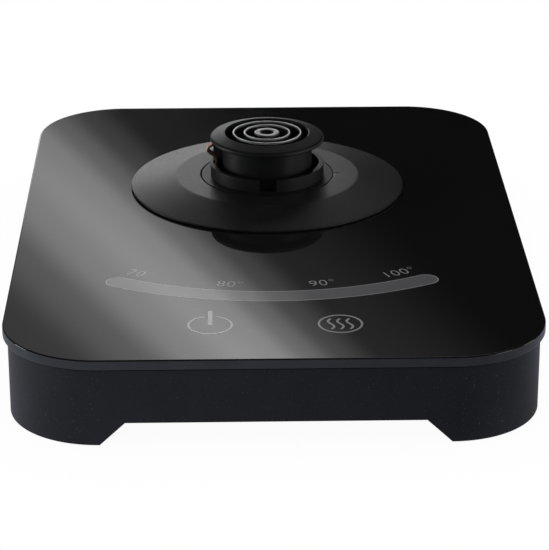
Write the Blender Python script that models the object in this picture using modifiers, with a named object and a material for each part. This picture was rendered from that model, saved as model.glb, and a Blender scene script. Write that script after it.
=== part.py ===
"""Powered base of a cordless electric kettle.

A black glass touch plate sits on a low matte housing.  A round platform on the
glass carries the 360 degree connector, whose sprung contacts feed the kettle.
The frame is +Z up, with the controls towards -Y, and the origin is at the
middle of the footprint on the surface that the rubber feet stand on.
"""
import math

import bmesh
import bpy
from mathutils import Matrix, Vector

MM = 0.001
GAP = 0.3 * MM            # clearance between pieces that seat on each other
SLIP = 0.3 * MM           # radial clearance of a pin, stud or tab in its hole
PAST = 1.0 * MM           # how far a cutter runs past the face that it opens

# ---- overall sizes --------------------------------------------------------
PLATE_WIDTH = 160 * MM
PLATE_DEPTH = 225 * MM
PLATE_CORNER = 29 * MM
TOTAL_TO_GLASS = 27.9 * MM     # floor to the top of the glass
GLASS_THICK = 3.2 * MM
GLASS_EDGE_BREAK = 0.35 * MM
SHADOW_GAP = 0.6 * MM          # open line between glass and housing
HOUSING_INSET = 1.4 * MM       # the glass overhangs the housing
HOUSING_WALL = 2.4 * MM
HOUSING_LIP = 1.2 * MM         # thinner wall around the upper chassis
LIP_DEPTH = 2.0 * MM
FOOT_LIFT = 0.6 * MM           # floor to the bottom edge of the wall
NOTCH_HEIGHT = 7.55 * MM       # floor to the top of the gap between the feet
NOTCH_SLANT = 7.4 * MM
LEDGE_LOW = 10.0 * MM
LEDGE_THICK = 1.2 * MM
LEDGE_WIDTH = 3.0 * MM

# ---- plates ---------------------------------------------------------------
CHASSIS_THICK = 1.8 * MM
BASE_PLATE_THICK = 2.0 * MM
FOOT_INSET = 16.6 * MM         # foot centre from the housing's outer faces
FOOT_RADIUS = 9.0 * MM
FOOT_WALL = 1.6 * MM
FOOT_FLOOR = 1.2 * MM
PAD_CHAMFER = 0.4 * MM
PAD_RADIUS = 7.0 * MM
PAD_THICK = 1.9 * MM
BOSS_X = 44 * MM               # housing screws, from the centre line
BOSS_RADIUS = 3.2 * MM
BOSS_CLEARANCE = 0.5 * MM      # a boss stands this far inside the ledge

# ---- connector, on a vertical axis ---------------------------------------
AXIS_X = 0.0
AXIS_FROM_BACK = 82 * MM        # connector axis to the plate's back edge
PLATFORM_FLAT = 8.6 * MM         # width of the platform's flat top around the hub
PLATFORM_SLOPE = 15.1 * MM       # width of its sloping part
PLATFORM_RIM = 0.85 * MM
PLATFORM_HEIGHT = 4.0 * MM
PLATFORM_WALL = 1.6 * MM
PLATFORM_LIP = 1.1               # width of the platform's foot, in wall thicknesses
NECK_WALL = 2.0 * MM
PLATFORM_BOSS_RADIUS = 2.56 * MM
GLASS_HOLE_GAP = 0.5 * MM        # glass hole around the hub's flange
COLLAR_STEP = 3.0 * MM         # the hub's shoulder reaches this far outside the collar
COLLAR_WALL = 1.6 * MM
COLLAR_HEIGHT = 8.2 * MM
COLLAR_NOTCH = 5.3 * MM
COLLAR_NOTCH_FLOOR = 0.2 * MM  # floor of the collar's notch above the platform
TROUGH_FLOOR = 3.4 * MM
TROUGH_THICK = 1.4 * MM
CORE_RADIUS = 15.0 * MM
CORE_TO_COLLAR = 4.0 * MM      # the side contact's tower stands in this width
CORE_WALL_TOP = 17.2 * MM
CORE_DRUM_TOP = 1.7 * MM
CAP_OVERHANG = 4.0 * MM        # cap beyond the core
CAP_CHAMFER = 0.3 * MM
CAP_LIP = 16.1 * MM
CAP_SIDE_TOP = 17.0 * MM
CAP_TOP = 18.8 * MM
CAP_CROWN_INSET = 3.7 * MM     # the cap's top is flat inside this width
RECESS_INSET = 1.15 * MM       # the cap's recess lies this far inside the core
RECESS_CHAMFER = 0.4 * MM
SLOT_DEPTH = 23.0 * MM
RING_FROM_RECESS = 2.6 * MM    # outer ring wall's middle line inside the recess
RING_SPACING = 3.75 * MM
RING_SINK = 0.05 * MM          # trim rings and socket lie this far below the cap's top
SOCKET_SINK = 0.1 * MM
SOCKET_BREAK = 0.2 * MM
RING_WALL = 0.6 * MM
RING_TRIM_HEIGHT = 0.9 * MM
POST_RADIUS = 4.3 * MM
SOCKET_BORE = 2.1 * MM
SOCKET_TUBE_WALL = 0.8 * MM
SOCKET_FLANGE = 0.8 * MM
HUB_SKIRT_WALL = 1.8 * MM
HUB_FLANGE_WIDTH = 9.0 * MM    # flange beyond the hub
HUB_FLANGE_THICK = 2.0 * MM
RETAINER_THICK = 2.0 * MM
RETAINER_SHOULDER = 3.2 * MM   # the retainer reaches this far under the core
CONNECTOR_SCREW_OUT = 5.2 * MM # screw centres beyond the hub
CONNECTOR_SCREW_ANGLES = (30, 150, 270)
CONNECTOR_SCREW_TIP = 0.9 * MM # above the glass
TOWER_HALF_ANGLE = 17
CONTACT_WIDTH = 2.8 * MM
STRIP_THICK = 0.5 * MM
LEAF_WIDTH = 3.0 * MM
TAB_LENGTH = 6.0 * MM
SEAL_FROM_TOP_RADIUS = 2.4 * MM
SEAL_WIDTH = 5.0 * MM
SEAL_FREE = 0.235 * MM         # seal's outer corner to the platform's sloping underside
TICK_LENGTH = 2.2 * MM
TICK_WIDTH = 0.35 * MM
TICK_DEPTH = 0.5 * MM
TOWER_INSET = 0.08 * MM        # tower behind the collar's outer face
WINDOW_LIFT = 0.6 * MM         # sill of the tower's window above the collar
STAKING_ANGLES = (170, 335)
STAKING_RADIUS = 0.32 * MM
STAKING_DEPTH = 0.4 * MM
CHANNEL_SET = 1.0 * MM         # inner side of the side contact's channel from the core
CHANNEL_WALL = 0.9 * MM        # tower's skin outside the channel
NOSE_REACH = 1.2 * MM          # side contact's nose beyond the collar
SIDE_PIVOT_HEIGHT = 6.0 * MM   # above the glass
LEAF_HEIGHT = 13.0 * MM
LEAF_NOSE = 0.45 * MM

# ---- radii that follow the core -----------------------------------------------
COLLAR_RADIUS = CORE_RADIUS + CORE_TO_COLLAR
HUB_RADIUS = COLLAR_RADIUS + COLLAR_STEP
HUB_BORE = HUB_RADIUS - HUB_SKIRT_WALL
HUB_FLANGE_RADIUS = HUB_RADIUS + HUB_FLANGE_WIDTH
CONNECTOR_SCREW_CIRCLE = HUB_RADIUS + CONNECTOR_SCREW_OUT
CAP_RADIUS = CORE_RADIUS + CAP_OVERHANG
CAP_CROWN_RADIUS = CAP_RADIUS - CAP_CROWN_INSET
RECESS_RADIUS = CORE_RADIUS - RECESS_INSET
OUTER_RING_RADIUS = RECESS_RADIUS - RING_FROM_RECESS
INNER_RING_RADIUS = OUTER_RING_RADIUS - RING_SPACING
RETAINER_BORE = HUB_BORE - RETAINER_SHOULDER
NECK_RADIUS = HUB_RADIUS + NECK_WALL
GLASS_HOLE_RADIUS = HUB_FLANGE_RADIUS + GLASS_HOLE_GAP
PLATFORM_TOP_RADIUS = HUB_RADIUS + PLATFORM_FLAT
PLATFORM_RADIUS = PLATFORM_TOP_RADIUS + PLATFORM_SLOPE
SIDE_PIVOT_RADIUS = CORE_RADIUS + CHANNEL_SET + 1 * MM
SIDE_NOSE_RADIUS = COLLAR_RADIUS + NOSE_REACH
# name, angle, inner and outer radius of the slot that the contact stands in
LEAVES = (
    ("live", 90, OUTER_RING_RADIUS + RING_WALL / 2, RECESS_RADIUS),
    ("neutral", 30, INNER_RING_RADIUS + RING_WALL / 2, OUTER_RING_RADIUS - RING_WALL / 2),
    ("signal", 210, POST_RADIUS, INNER_RING_RADIUS - RING_WALL / 2),
)

# ---- controls -------------------------------------------------------------
SLIDER_FROM_FRONT = 45.9 * MM  # lowest point of the arc's middle line to the plate's front edge
SLIDER_WIDTH = 7.7 * MM
SLIDER_HALF_ANGLE = 29
ICON_X = 19.1 * MM
ICON_FROM_FRONT = 24.7 * MM
ICON_RADIUS = 6.7 * MM
TOUCH_SIDE = 18 * MM           # board's side edges to the plate's
TOUCH_CORNER = 6 * MM
TOUCH_SCREW_SIDE = 5 * MM      # screws from the board's side and back edges
TOUCH_SCREW_BACK = 4 * MM
TOUCH_MARGIN = 8 * MM          # board behind the ends of the slider
BOARD_THICK = 1.6 * MM
TOUCH_DROP = 0.9 * MM          # board top below the chassis
LED_WIDTH = 2.4 * MM
LED_DEPTH = 1.6 * MM
LED_HEIGHT = 0.4 * MM
LED_COUNT = 9

# ---- power electronics ----------------------------------------------------
POWER_FROM_WALL = 6.6 * MM     # board edge to the housing's outer left face
POWER_SHARE = 0.344            # share of the free depth that lies in front of the board
POWER_WIDTH = 38 * MM
POWER_DEPTH = 108 * MM
POWER_CORNER = 3 * MM
POWER_SCREW_INSET = 4 * MM
POWER_STANDOFF = 1.4 * MM
STANDOFF_RADIUS = 2.2 * MM
# name, middle from the board's centre, width, depth, edge break, finish
BOXED_PARTS = (
    ("relay", (-4 * MM, 10 * MM), 15 * MM, 20 * MM, 0.5 * MM, "relay_blue"),
    ("transformer", (-5 * MM, -12 * MM), 14 * MM, 13 * MM, 1.0 * MM, "coil_yellow"),
    ("film_capacitor", (-4 * MM, 28 * MM), 18 * MM, 7 * MM, 0.5 * MM, "capacitor_grey"),
    ("terminal_block", (-3 * MM, 42 * MM), 20 * MM, 9 * MM, 0.5 * MM, "terminal_green"),
)
BULK_CAPACITOR = (-5.5 * MM, -26 * MM)
BULK_CAPACITOR_RADIUS = 4 * MM
BULK_CAPACITOR_LENGTH = 15 * MM
FUSE = (12 * MM, 24 * MM)
FUSE_RADIUS = 1.8 * MM
FUSE_LENGTH = 12 * MM
BUZZER = (-4 * MM, -40 * MM)
BUZZER_RADIUS = 6 * MM
BUZZER_HEIGHT = 6 * MM
BUZZER_BREAK = 0.6 * MM
WIRE_RADIUS = 0.9 * MM
WIRE_SPACING = 3.2 * MM        # wires at the terminal block
WIRE_RISE = 3 * MM             # their height above the board there
WIRE_LOW = 2.4 * MM            # height at which they cross the base plate
SIGNAL_START = (17 * MM, -20 * MM)
RIBBON_SIDE = 8 * MM           # cable's middle from the power board's
RIBBON_WIDTH = 12 * MM
GLAND_BORE = 3.3 * MM
GLAND_RADIUS = 4.7 * MM
GLAND_HEIGHT = 16.8 * MM
GLAND_FLANGE = 6.2 * MM
GLAND_INNER_FLANGE = 5.3 * MM
GLAND_FLANGE_THICK = 0.8 * MM
GLAND_INNER_THICK = 1.2 * MM
GLAND_CHAMFER = 0.4 * MM

# ---- screws ---------------------------------------------------------------
SCREW_RADIUS = 1.2 * MM
SCREW_HEAD_RADIUS = 2.6 * MM
SCREW_HEAD_THICK = 1.6 * MM
SCREW_POINT = 0.8 * MM         # length of the tapered tip
SCREW_HOLE = SCREW_RADIUS + SLIP

# ---- levels worked out from the sizes above -------------------------------
GLASS_TOP = TOTAL_TO_GLASS
GLASS_BOTTOM = GLASS_TOP - GLASS_THICK
HOUSING_TOP = GLASS_BOTTOM - SHADOW_GAP
CHASSIS_TOP = GLASS_BOTTOM - GAP
CHASSIS_BOTTOM = CHASSIS_TOP - CHASSIS_THICK
BASE_PLATE_TOP = LEDGE_LOW - GAP
BASE_PLATE_BOTTOM = BASE_PLATE_TOP - BASE_PLATE_THICK
HUB_FLANGE_TOP = CHASSIS_BOTTOM - GAP
HUB_FLANGE_BOTTOM = HUB_FLANGE_TOP - HUB_FLANGE_THICK
RETAINER_TOP = HUB_FLANGE_BOTTOM - GAP
RETAINER_BOTTOM = RETAINER_TOP - RETAINER_THICK
SLOT_FLOOR = GLASS_TOP + CAP_TOP - SLOT_DEPTH
TAB_END = RETAINER_BOTTOM - TAB_LENGTH / 2
SIDE_PIVOT_Z = GLASS_TOP + SIDE_PIVOT_HEIGHT
TOUCH_TOP = CHASSIS_BOTTOM - TOUCH_DROP
TOUCH_BOTTOM = TOUCH_TOP - BOARD_THICK
POWER_BOTTOM = BASE_PLATE_TOP + POWER_STANDOFF
POWER_TOP = POWER_BOTTOM + BOARD_THICK
PAD_RECESS_TOP = PAD_THICK + GAP
HOUSING_WIDTH = PLATE_WIDTH - 2 * HOUSING_INSET
HOUSING_DEPTH = PLATE_DEPTH - 2 * HOUSING_INSET
HOUSING_CORNER = PLATE_CORNER - HOUSING_INSET
AXIS_Y = PLATE_DEPTH / 2 - AXIS_FROM_BACK
SLIDER_RADIUS = AXIS_Y + PLATE_DEPTH / 2 - SLIDER_FROM_FRONT
SLIDER_END_Y = AXIS_Y - (SLIDER_RADIUS - SLIDER_WIDTH / 2) * math.cos(math.radians(SLIDER_HALF_ANGLE))
ICON_Y = ICON_FROM_FRONT - PLATE_DEPTH / 2
FOOT_X = HOUSING_WIDTH / 2 - FOOT_INSET
FOOT_Y = HOUSING_DEPTH / 2 - FOOT_INSET
BOSS_Y = HOUSING_DEPTH / 2 - HOUSING_WALL - LEDGE_WIDTH - BOSS_CLEARANCE - BOSS_RADIUS
TOUCH_FRONT = BOSS_RADIUS + 1 * MM - BOSS_Y
TOUCH_BACK = SLIDER_END_Y + TOUCH_MARGIN
TOUCH_WIDTH = PLATE_WIDTH - 2 * TOUCH_SIDE
POWER_FREE = HOUSING_DEPTH / 2 - HOUSING_WALL - TOUCH_BACK - POWER_DEPTH
POWER_X = POWER_FROM_WALL + POWER_WIDTH / 2 - HOUSING_WIDTH / 2
POWER_FRONT = TOUCH_BACK + POWER_SHARE * POWER_FREE
POWER_Y = POWER_FRONT + POWER_DEPTH / 2

COLLECTION = "kettle_power_base"
ROUND_STEPS = 44          # sides of a turned piece
PLATFORM_STEPS = 56
SMALL_STEPS = 20          # sides of feet, sockets and posts
HOLE_STEPS = 10           # sides of a screw and its hole
CORNER_STEPS = 8
DOME_STEPS = 5


# ---- scene and material helpers -------------------------------------------
def clear_scene():
    for obj in list(bpy.data.objects):
        bpy.data.objects.remove(obj, do_unlink=True)


def make_collection(name):
    collection = bpy.data.collections.new(name)
    bpy.context.scene.collection.children.link(collection)
    return collection


def material(name, colour, roughness, metallic=0.0):
    mat = bpy.data.materials.new(name)
    mat.use_nodes = True
    shader = mat.node_tree.nodes["Principled BSDF"]
    shader.inputs["Base Color"].default_value = (*colour, 1.0)
    shader.inputs["Roughness"].default_value = roughness
    shader.inputs["Metallic"].default_value = metallic
    return mat


def add_object(name, data, location=(0, 0, 0), rotation=(0, 0, 0)):
    obj = bpy.data.objects.new(name, data)
    obj.location = location
    obj.rotation_euler = rotation
    PARTS.objects.link(obj)
    return obj


def finish(obj, finish_name):
    """Give an object its own copy of one of the named finishes."""
    colour, roughness, metallic = FINISHES[finish_name]
    obj.data.materials.append(material(obj.name + "_" + finish_name, colour, roughness, metallic))
    return obj


def as_tool(obj):
    """Put an object away as a cutter or as a shape to be joined on."""
    PARTS.objects.unlink(obj)
    TOOLS.objects.link(obj)
    obj.hide_render = True
    obj.display_type = 'WIRE'
    return obj


def combine(obj, tool, operation='DIFFERENCE'):
    mod = obj.modifiers.new(operation.lower() + "_" + tool.name, 'BOOLEAN')
    mod.operation = operation
    mod.solver = 'EXACT'
    mod.object = tool
    if tool.name in PARTS.objects:
        as_tool(tool)
    return obj


# ---- shape helpers ----------------------------------------------------------
def arc_points(centre, radius, start_deg, end_deg, steps):
    points = []
    for i in range(steps + 1):
        angle = math.radians(start_deg + (end_deg - start_deg) * i / steps)
        points.append((centre[0] + radius * math.cos(angle), centre[1] + radius * math.sin(angle)))
    return points


def circle_loop(centre, radius, steps=ROUND_STEPS):
    """Round outline; a quarter step of turn on the left keeps the corners of mirrored holes out of line."""
    first = 90 / steps if centre[0] < 0 else 0
    return arc_points(centre, radius, first, first + 360 - 360 / steps, steps - 1)


def rounded_rectangle(width, depth, radius, centre=(0, 0), steps=CORNER_STEPS):
    x, y = width / 2 - radius, depth / 2 - radius
    points = []
    for cx, cy, start in ((x, -y, -90), (x, y, 0), (-x, y, 90), (-x, -y, 180)):
        points += arc_points((centre[0] + cx, centre[1] + cy), radius, start, start + 90, steps)
    return points


def arc_band(centre, radius, width, mid_deg, half_deg, steps=24, end_steps=6):
    """Outline of a curved bar with round ends."""
    inner, outer = radius - width / 2, radius + width / 2
    first, last = mid_deg - half_deg, mid_deg + half_deg
    points = arc_points(centre, outer, first, last, steps)
    for angle, start in ((last, last), (first, first + 180)):
        radians = math.radians(angle)
        end = (centre[0] + radius * math.cos(radians), centre[1] + radius * math.sin(radians))
        points += arc_points(end, width / 2, start, start + 180, end_steps)[1:-1]
        if angle == last:
            points += arc_points(centre, inner, last, first, steps)
    return points


def curve_to_mesh(obj):
    """Replace a curve object by the closed mesh that it evaluates to."""
    depsgraph = bpy.context.evaluated_depsgraph_get()
    mesh = bpy.data.meshes.new_from_object(obj.evaluated_get(depsgraph))
    bm = bmesh.new()
    bm.from_mesh(mesh)
    bmesh.ops.remove_doubles(bm, verts=bm.verts, dist=0.001 * MM)
    bmesh.ops.recalc_face_normals(bm, faces=bm.faces)
    bm.to_mesh(mesh)
    bm.free()
    name = obj.name
    placed = obj.matrix_world.copy()
    bpy.data.objects.remove(obj, do_unlink=True)
    solid = add_object(name, mesh)
    solid.matrix_world = placed
    return solid


def plate(name, loops, z_low, z_high, location=(0, 0), rotation=(0, 0, 0)):
    """Flat piece: the first loop is its outline and the others are holes."""
    curve = bpy.data.curves.new(name, 'CURVE')
    curve.dimensions = '2D'
    curve.fill_mode = 'BOTH'
    curve.extrude = (z_high - z_low) / 2
    for loop in loops:
        spline = curve.splines.new('POLY')
        spline.points.add(len(loop) - 1)
        for point, (x, y) in zip(spline.points, loop):
            point.co = (x, y, 0, 1)
        spline.use_cyclic_u = True
    obj = add_object(name, curve, (*location, (z_low + z_high) / 2), rotation)
    bpy.context.view_layer.update()
    return curve_to_mesh(obj)


def box(name, low, high):
    low, high = Vector(low), Vector(high)
    bm = bmesh.new()
    bmesh.ops.create_cube(bm, size=1.0)
    bmesh.ops.scale(bm, vec=high - low, verts=bm.verts)
    mesh = bpy.data.meshes.new(name)
    bm.to_mesh(mesh)
    bm.free()
    return add_object(name, mesh, (low + high) / 2)


def rod(name, start, end, radius, steps=SMALL_STEPS):
    """Solid cylinder between two points."""
    start, end = Vector(start), Vector(end)
    length = (end - start).length
    bm = bmesh.new()
    bmesh.ops.create_cone(bm, cap_ends=True, segments=steps, radius1=radius, radius2=radius, depth=length)
    mesh = bpy.data.meshes.new(name)
    bm.to_mesh(mesh)
    bm.free()
    turn = (end - start).to_track_quat('Z', 'Y').to_euler()
    mesh.shade_smooth()
    mesh.set_sharp_from_angle(angle=math.radians(35))
    return add_object(name, mesh, (start + end) / 2, turn)


def turned(name, profile, centre=(AXIS_X, AXIS_Y), base_z=0.0, closed=True, steps=ROUND_STEPS,
           rotation=(0, 0, 0)):
    """Turned piece from (radius, height) points that run down its outer side."""
    mesh = bpy.data.meshes.new(name)
    bm = bmesh.new()
    verts = [bm.verts.new((radius, 0, height)) for radius, height in profile]
    for first, second in zip(verts, verts[1:]):
        bm.edges.new((first, second))
    if closed:
        bm.edges.new((verts[-1], verts[0]))
    bm.to_mesh(mesh)
    bm.free()
    obj = add_object(name, mesh, (*centre, base_z), rotation)
    screw = obj.modifiers.new("turn", 'SCREW')
    screw.steps = steps
    screw.render_steps = steps
    screw.use_merge_vertices = True
    screw.merge_threshold = 0.001 * MM
    screw.use_smooth_shade = True
    return obj


def strip_outline(path, thick):
    """Closed outline of a thin strip that follows a path of (radius, height) points."""
    sides = ([], [])
    for i, point in enumerate(path):
        before = Vector(path[max(i - 1, 0)])
        after = Vector(path[min(i + 1, len(path) - 1)])
        along = (after - before).normalized()
        across = Vector((-along.y, along.x)) * thick / 2
        sides[0].append(tuple(Vector(point) + across))
        sides[1].append(tuple(Vector(point) - across))
    return sides[0] + sides[1][::-1]


def polar(radius, angle_deg, z=0.0):
    """Point at a radius and an angle about the connector axis."""
    angle = math.radians(angle_deg)
    return Vector((AXIS_X + radius * math.cos(angle), AXIS_Y + radius * math.sin(angle), z))


def strip(name, path, width, angle_deg, pivot_radius, pivot_z):
    """Formed sheet strip in a radial plane, with its origin at the pivot."""
    outline = [(r - pivot_radius, z - pivot_z) for r, z in strip_outline(path, STRIP_THICK)]
    pivot = polar(pivot_radius, angle_deg, pivot_z)
    turn = Matrix.Rotation(math.radians(angle_deg), 4, 'Z') @ Matrix.Rotation(math.radians(90), 4, 'X')
    obj = plate(name, [outline], -width / 2, width / 2)
    obj.matrix_world = Matrix.Translation(pivot) @ turn
    return obj


def radial_box(name, r_low, r_high, width, z_low, z_high, angle_deg):
    """Box that is square to a radius of the connector."""
    obj = box(name, (r_low, -width / 2, z_low), (r_high, width / 2, z_high))
    middle = polar((r_low + r_high) / 2, angle_deg, (z_low + z_high) / 2)
    obj.matrix_world = Matrix.Translation(middle) @ Matrix.Rotation(math.radians(angle_deg), 4, 'Z')
    return obj


def smooth_route(points, spacing):
    """Points along a Catmull-Rom curve through a wire's own points."""
    ends = [Vector(points[0]) * 2 - Vector(points[1])] + [Vector(p) for p in points]
    ends.append(Vector(points[-1]) * 2 - Vector(points[-2]))
    route = []
    for p0, p1, p2, p3 in zip(ends, ends[1:], ends[2:], ends[3:]):
        steps = max(2, round((p2 - p1).length / spacing))
        for i in range(steps):
            t = i / steps
            route.append(0.5 * (2 * p1 + (p2 - p0) * t + (2 * p0 - 5 * p1 + 4 * p2 - p3) * t * t
                                + (3 * p1 - p0 - 3 * p2 + p3) * t ** 3))
    route.append(Vector(points[-1]))
    return route


def tube(name, points, radius):
    route = smooth_route(points, 5 * radius)
    curve = bpy.data.curves.new(name, 'CURVE')
    curve.dimensions = '3D'
    curve.bevel_depth = radius
    curve.bevel_resolution = 2
    curve.use_fill_caps = True
    spline = curve.splines.new('POLY')
    spline.points.add(len(route) - 1)
    for point, co in zip(spline.points, route):
        point.co = (*co, 1)
    return add_object(name, curve)


def screw(name, x, y, head_z, tip_z, finish_name="zinc"):
    """Pan head screw; the head lies beyond head_z, away from the tip."""
    up = 1 if tip_z > head_z else -1
    length = abs(tip_z - head_z)
    profile = [(0, length), (SCREW_RADIUS * 0.6, length), (SCREW_RADIUS, length - SCREW_POINT),
               (SCREW_RADIUS, 0), (SCREW_HEAD_RADIUS, 0), (SCREW_HEAD_RADIUS, -SCREW_HEAD_THICK * 0.6),
               (SCREW_HEAD_RADIUS * 0.75, -SCREW_HEAD_THICK), (0, -SCREW_HEAD_THICK)]
    turn = (0, 0, 0) if up > 0 else (math.pi, 0, 0)
    obj = turned(name, profile, (x, y), head_z, closed=False, steps=HOLE_STEPS, rotation=turn)
    return finish(obj, finish_name)


def screw_hole(x, y, z_low, z_high):
    return as_tool(rod("hole", (x, y, z_low), (x, y, z_high), SCREW_HOLE, steps=HOLE_STEPS))


def soften(obj, width, segments=1, angle_deg=50):
    bevel = obj.modifiers.new("soften", 'BEVEL')
    bevel.width = width
    bevel.segments = segments
    bevel.limit_method = 'ANGLE'
    bevel.angle_limit = math.radians(angle_deg)
    return obj


# ---- enclosure ---------------------------------------------------------------
def inset_outline(inset):
    """The housing's outline, moved in by a distance."""
    return rounded_rectangle(HOUSING_WIDTH - 2 * inset, HOUSING_DEPTH - 2 * inset, HOUSING_CORNER - inset)


def build_glass():
    outline = rounded_rectangle(PLATE_WIDTH, PLATE_DEPTH, PLATE_CORNER)
    hole = circle_loop((AXIS_X, AXIS_Y), GLASS_HOLE_RADIUS)
    glass = plate("glass_top", [outline, hole], GLASS_BOTTOM, GLASS_TOP)
    soften(glass, GLASS_EDGE_BREAK)
    finish(glass, "black_glass")


def connector_screw_points():
    return [tuple(polar(CONNECTOR_SCREW_CIRCLE, angle)[:2]) for angle in CONNECTOR_SCREW_ANGLES]


def housing_screw_points():
    return [(sx * BOSS_X, sy * BOSS_Y) for sy in (-1, 1) for sx in (-1, 1)]


def touch_screw_points():
    x = TOUCH_WIDTH / 2 - TOUCH_SCREW_SIDE
    return [(side * x, TOUCH_BACK - TOUCH_SCREW_BACK) for side in (-1, 1)]


def slider_outline(growth=0.0):
    return arc_band((AXIS_X, AXIS_Y), SLIDER_RADIUS, SLIDER_WIDTH + 2 * growth, 270, SLIDER_HALF_ANGLE)


def icon_outline(side, growth=0.0):
    return circle_loop((side * ICON_X, ICON_Y), ICON_RADIUS + growth, SMALL_STEPS)


def build_upper_chassis():
    outline = inset_outline(HOUSING_LIP + GAP)
    loops = [outline, circle_loop((AXIS_X, AXIS_Y), HUB_RADIUS + SLIP)]
    loops += [slider_outline(GAP), icon_outline(-1, GAP), icon_outline(1, GAP)]
    loops += [circle_loop(point, SCREW_HOLE, HOLE_STEPS) for point in connector_screw_points()]
    loops += [circle_loop(point, SCREW_HOLE, HOLE_STEPS) for point in touch_screw_points()]
    chassis = plate("upper_chassis", loops, CHASSIS_BOTTOM, CHASSIS_TOP)
    for x, y in housing_screw_points():
        root = CHASSIS_BOTTOM + CHASSIS_THICK / 2
        boss = rod("boss", (x, y, BASE_PLATE_TOP + GAP), (x, y, root), BOSS_RADIUS)
        combine(chassis, boss, 'UNION')
        combine(chassis, screw_hole(x, y, 0, CHASSIS_BOTTOM - 1 * MM))
    finish(chassis, "black_plastic")


def notch_cutter(name, half_length, reach, turned_90):
    """Trapezoid bar that cuts the gap between two feet out of both walls."""
    top = half_length - NOTCH_SLANT
    low = -2 * MM
    spread = half_length + NOTCH_SLANT * (-low + FOOT_LIFT) / (NOTCH_HEIGHT - FOOT_LIFT)
    outline = [(-spread, low), (spread, low), (top, NOTCH_HEIGHT), (-top, NOTCH_HEIGHT)]
    obj = plate(name, [outline], -reach, reach)
    turn = Matrix.Rotation(math.radians(90), 4, 'X')
    if turned_90:
        turn = Matrix.Rotation(math.radians(90), 4, 'Z') @ turn
    obj.matrix_world = turn
    return as_tool(obj)


def build_lower_housing():
    housing = plate("lower_housing", [inset_outline(0)], FOOT_LIFT, HOUSING_TOP)
    steps = (
        ("lip_space", HOUSING_LIP, HOUSING_TOP - LIP_DEPTH, HOUSING_TOP + 5 * MM),
        ("upper_space", HOUSING_WALL, LEDGE_LOW + LEDGE_THICK, HOUSING_TOP + 4 * MM),
        ("ledge_space", HOUSING_WALL + LEDGE_WIDTH, 5 * MM, HOUSING_TOP + 3 * MM),
        ("lower_space", HOUSING_WALL, -5 * MM, LEDGE_LOW),
    )
    for name, inset, z_low, z_high in steps:
        combine(housing, plate(name, [inset_outline(inset)], z_low, z_high))
    combine(housing, notch_cutter("front_notch", HOUSING_WIDTH / 2 - HOUSING_CORNER, PLATE_DEPTH, False))
    combine(housing, notch_cutter("side_notch", HOUSING_DEPTH / 2 - HOUSING_CORNER, PLATE_DEPTH, True))
    wall_y = HOUSING_DEPTH / 2
    hole = rod("cord_hole", (0, wall_y - 6 * MM, GLAND_HEIGHT), (0, wall_y + 6 * MM, GLAND_HEIGHT),
               GLAND_RADIUS + SLIP)
    combine(housing, hole)
    finish(housing, "black_plastic")


def foot_points():
    return {"front_left": (-FOOT_X, -FOOT_Y), "front_right": (FOOT_X, -FOOT_Y),
            "rear_left": (-FOOT_X, FOOT_Y), "rear_right": (FOOT_X, FOOT_Y)}


def power_board_screw_points():
    dx, dy = POWER_WIDTH / 2 - POWER_SCREW_INSET, POWER_DEPTH / 2 - POWER_SCREW_INSET
    return [(POWER_X - dx, POWER_Y - dy), (POWER_X + dx, POWER_Y + dy)]


def build_base_plate():
    outline = inset_outline(HOUSING_WALL + GAP)
    holes = [circle_loop(point, SCREW_HOLE, HOLE_STEPS) for point in housing_screw_points()]
    base = plate("base_plate", [outline] + holes, BASE_PLATE_BOTTOM, BASE_PLATE_TOP)
    for x, y in foot_points().values():
        well = rod("well", (x, y, FOOT_LIFT), (x, y, BASE_PLATE_TOP - BASE_PLATE_THICK / 2), FOOT_RADIUS)
        combine(base, well, 'UNION')
        floor = PAD_RECESS_TOP + FOOT_FLOOR
        combine(base, rod("hollow", (x, y, floor), (x, y, BASE_PLATE_TOP + PAST), FOOT_RADIUS - FOOT_WALL))
        combine(base, rod("pad_recess", (x, y, -PAST), (x, y, PAD_RECESS_TOP), PAD_RADIUS + SLIP))
    for x, y in power_board_screw_points():
        post = rod("standoff", (x, y, BASE_PLATE_TOP - BASE_PLATE_THICK / 2), (x, y, POWER_BOTTOM - GAP),
                   STANDOFF_RADIUS, HOLE_STEPS)
        combine(base, post, 'UNION')
        combine(base, screw_hole(x, y, BASE_PLATE_BOTTOM + 0.6 * MM, POWER_TOP))
    finish(base, "black_plastic")


def build_feet():
    profile = [(0, PAD_THICK), (PAD_RADIUS, PAD_THICK), (PAD_RADIUS, PAD_CHAMFER),
               (PAD_RADIUS - PAD_CHAMFER, 0), (0, 0)]
    for label, point in foot_points().items():
        finish(turned("foot_pad_" + label, profile, point, 0, closed=False, steps=SMALL_STEPS), "rubber")


def build_housing_screws():
    for i, (x, y) in enumerate(housing_screw_points(), start=1):
        screw("housing_screw_%d" % i, x, y, BASE_PLATE_BOTTOM - GAP, CHASSIS_BOTTOM - 2 * MM)


def build_gland():
    outer = HOUSING_DEPTH / 2
    faces = [outer + GAP + GLAND_FLANGE_THICK, outer + GAP, outer - HOUSING_WALL - GAP,
             outer - HOUSING_WALL - GAP - GLAND_INNER_THICK]
    profile = [(GLAND_BORE, faces[0]), (GLAND_FLANGE - GLAND_CHAMFER, faces[0]),
               (GLAND_FLANGE, faces[1] + GLAND_CHAMFER), (GLAND_FLANGE, faces[1]),
               (GLAND_RADIUS, faces[1]), (GLAND_RADIUS, faces[2]), (GLAND_INNER_FLANGE, faces[2]),
               (GLAND_INNER_FLANGE, faces[3]), (GLAND_BORE, faces[3])]
    backwards = (-math.pi / 2, 0, 0)
    gland = turned("cord_gland", profile, (0, 0), GLAND_HEIGHT, steps=SMALL_STEPS, rotation=backwards)
    finish(gland, "rubber")


# ---- connector ------------------------------------------------------------------
def above_glass(height):
    return GLASS_TOP + height


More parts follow.
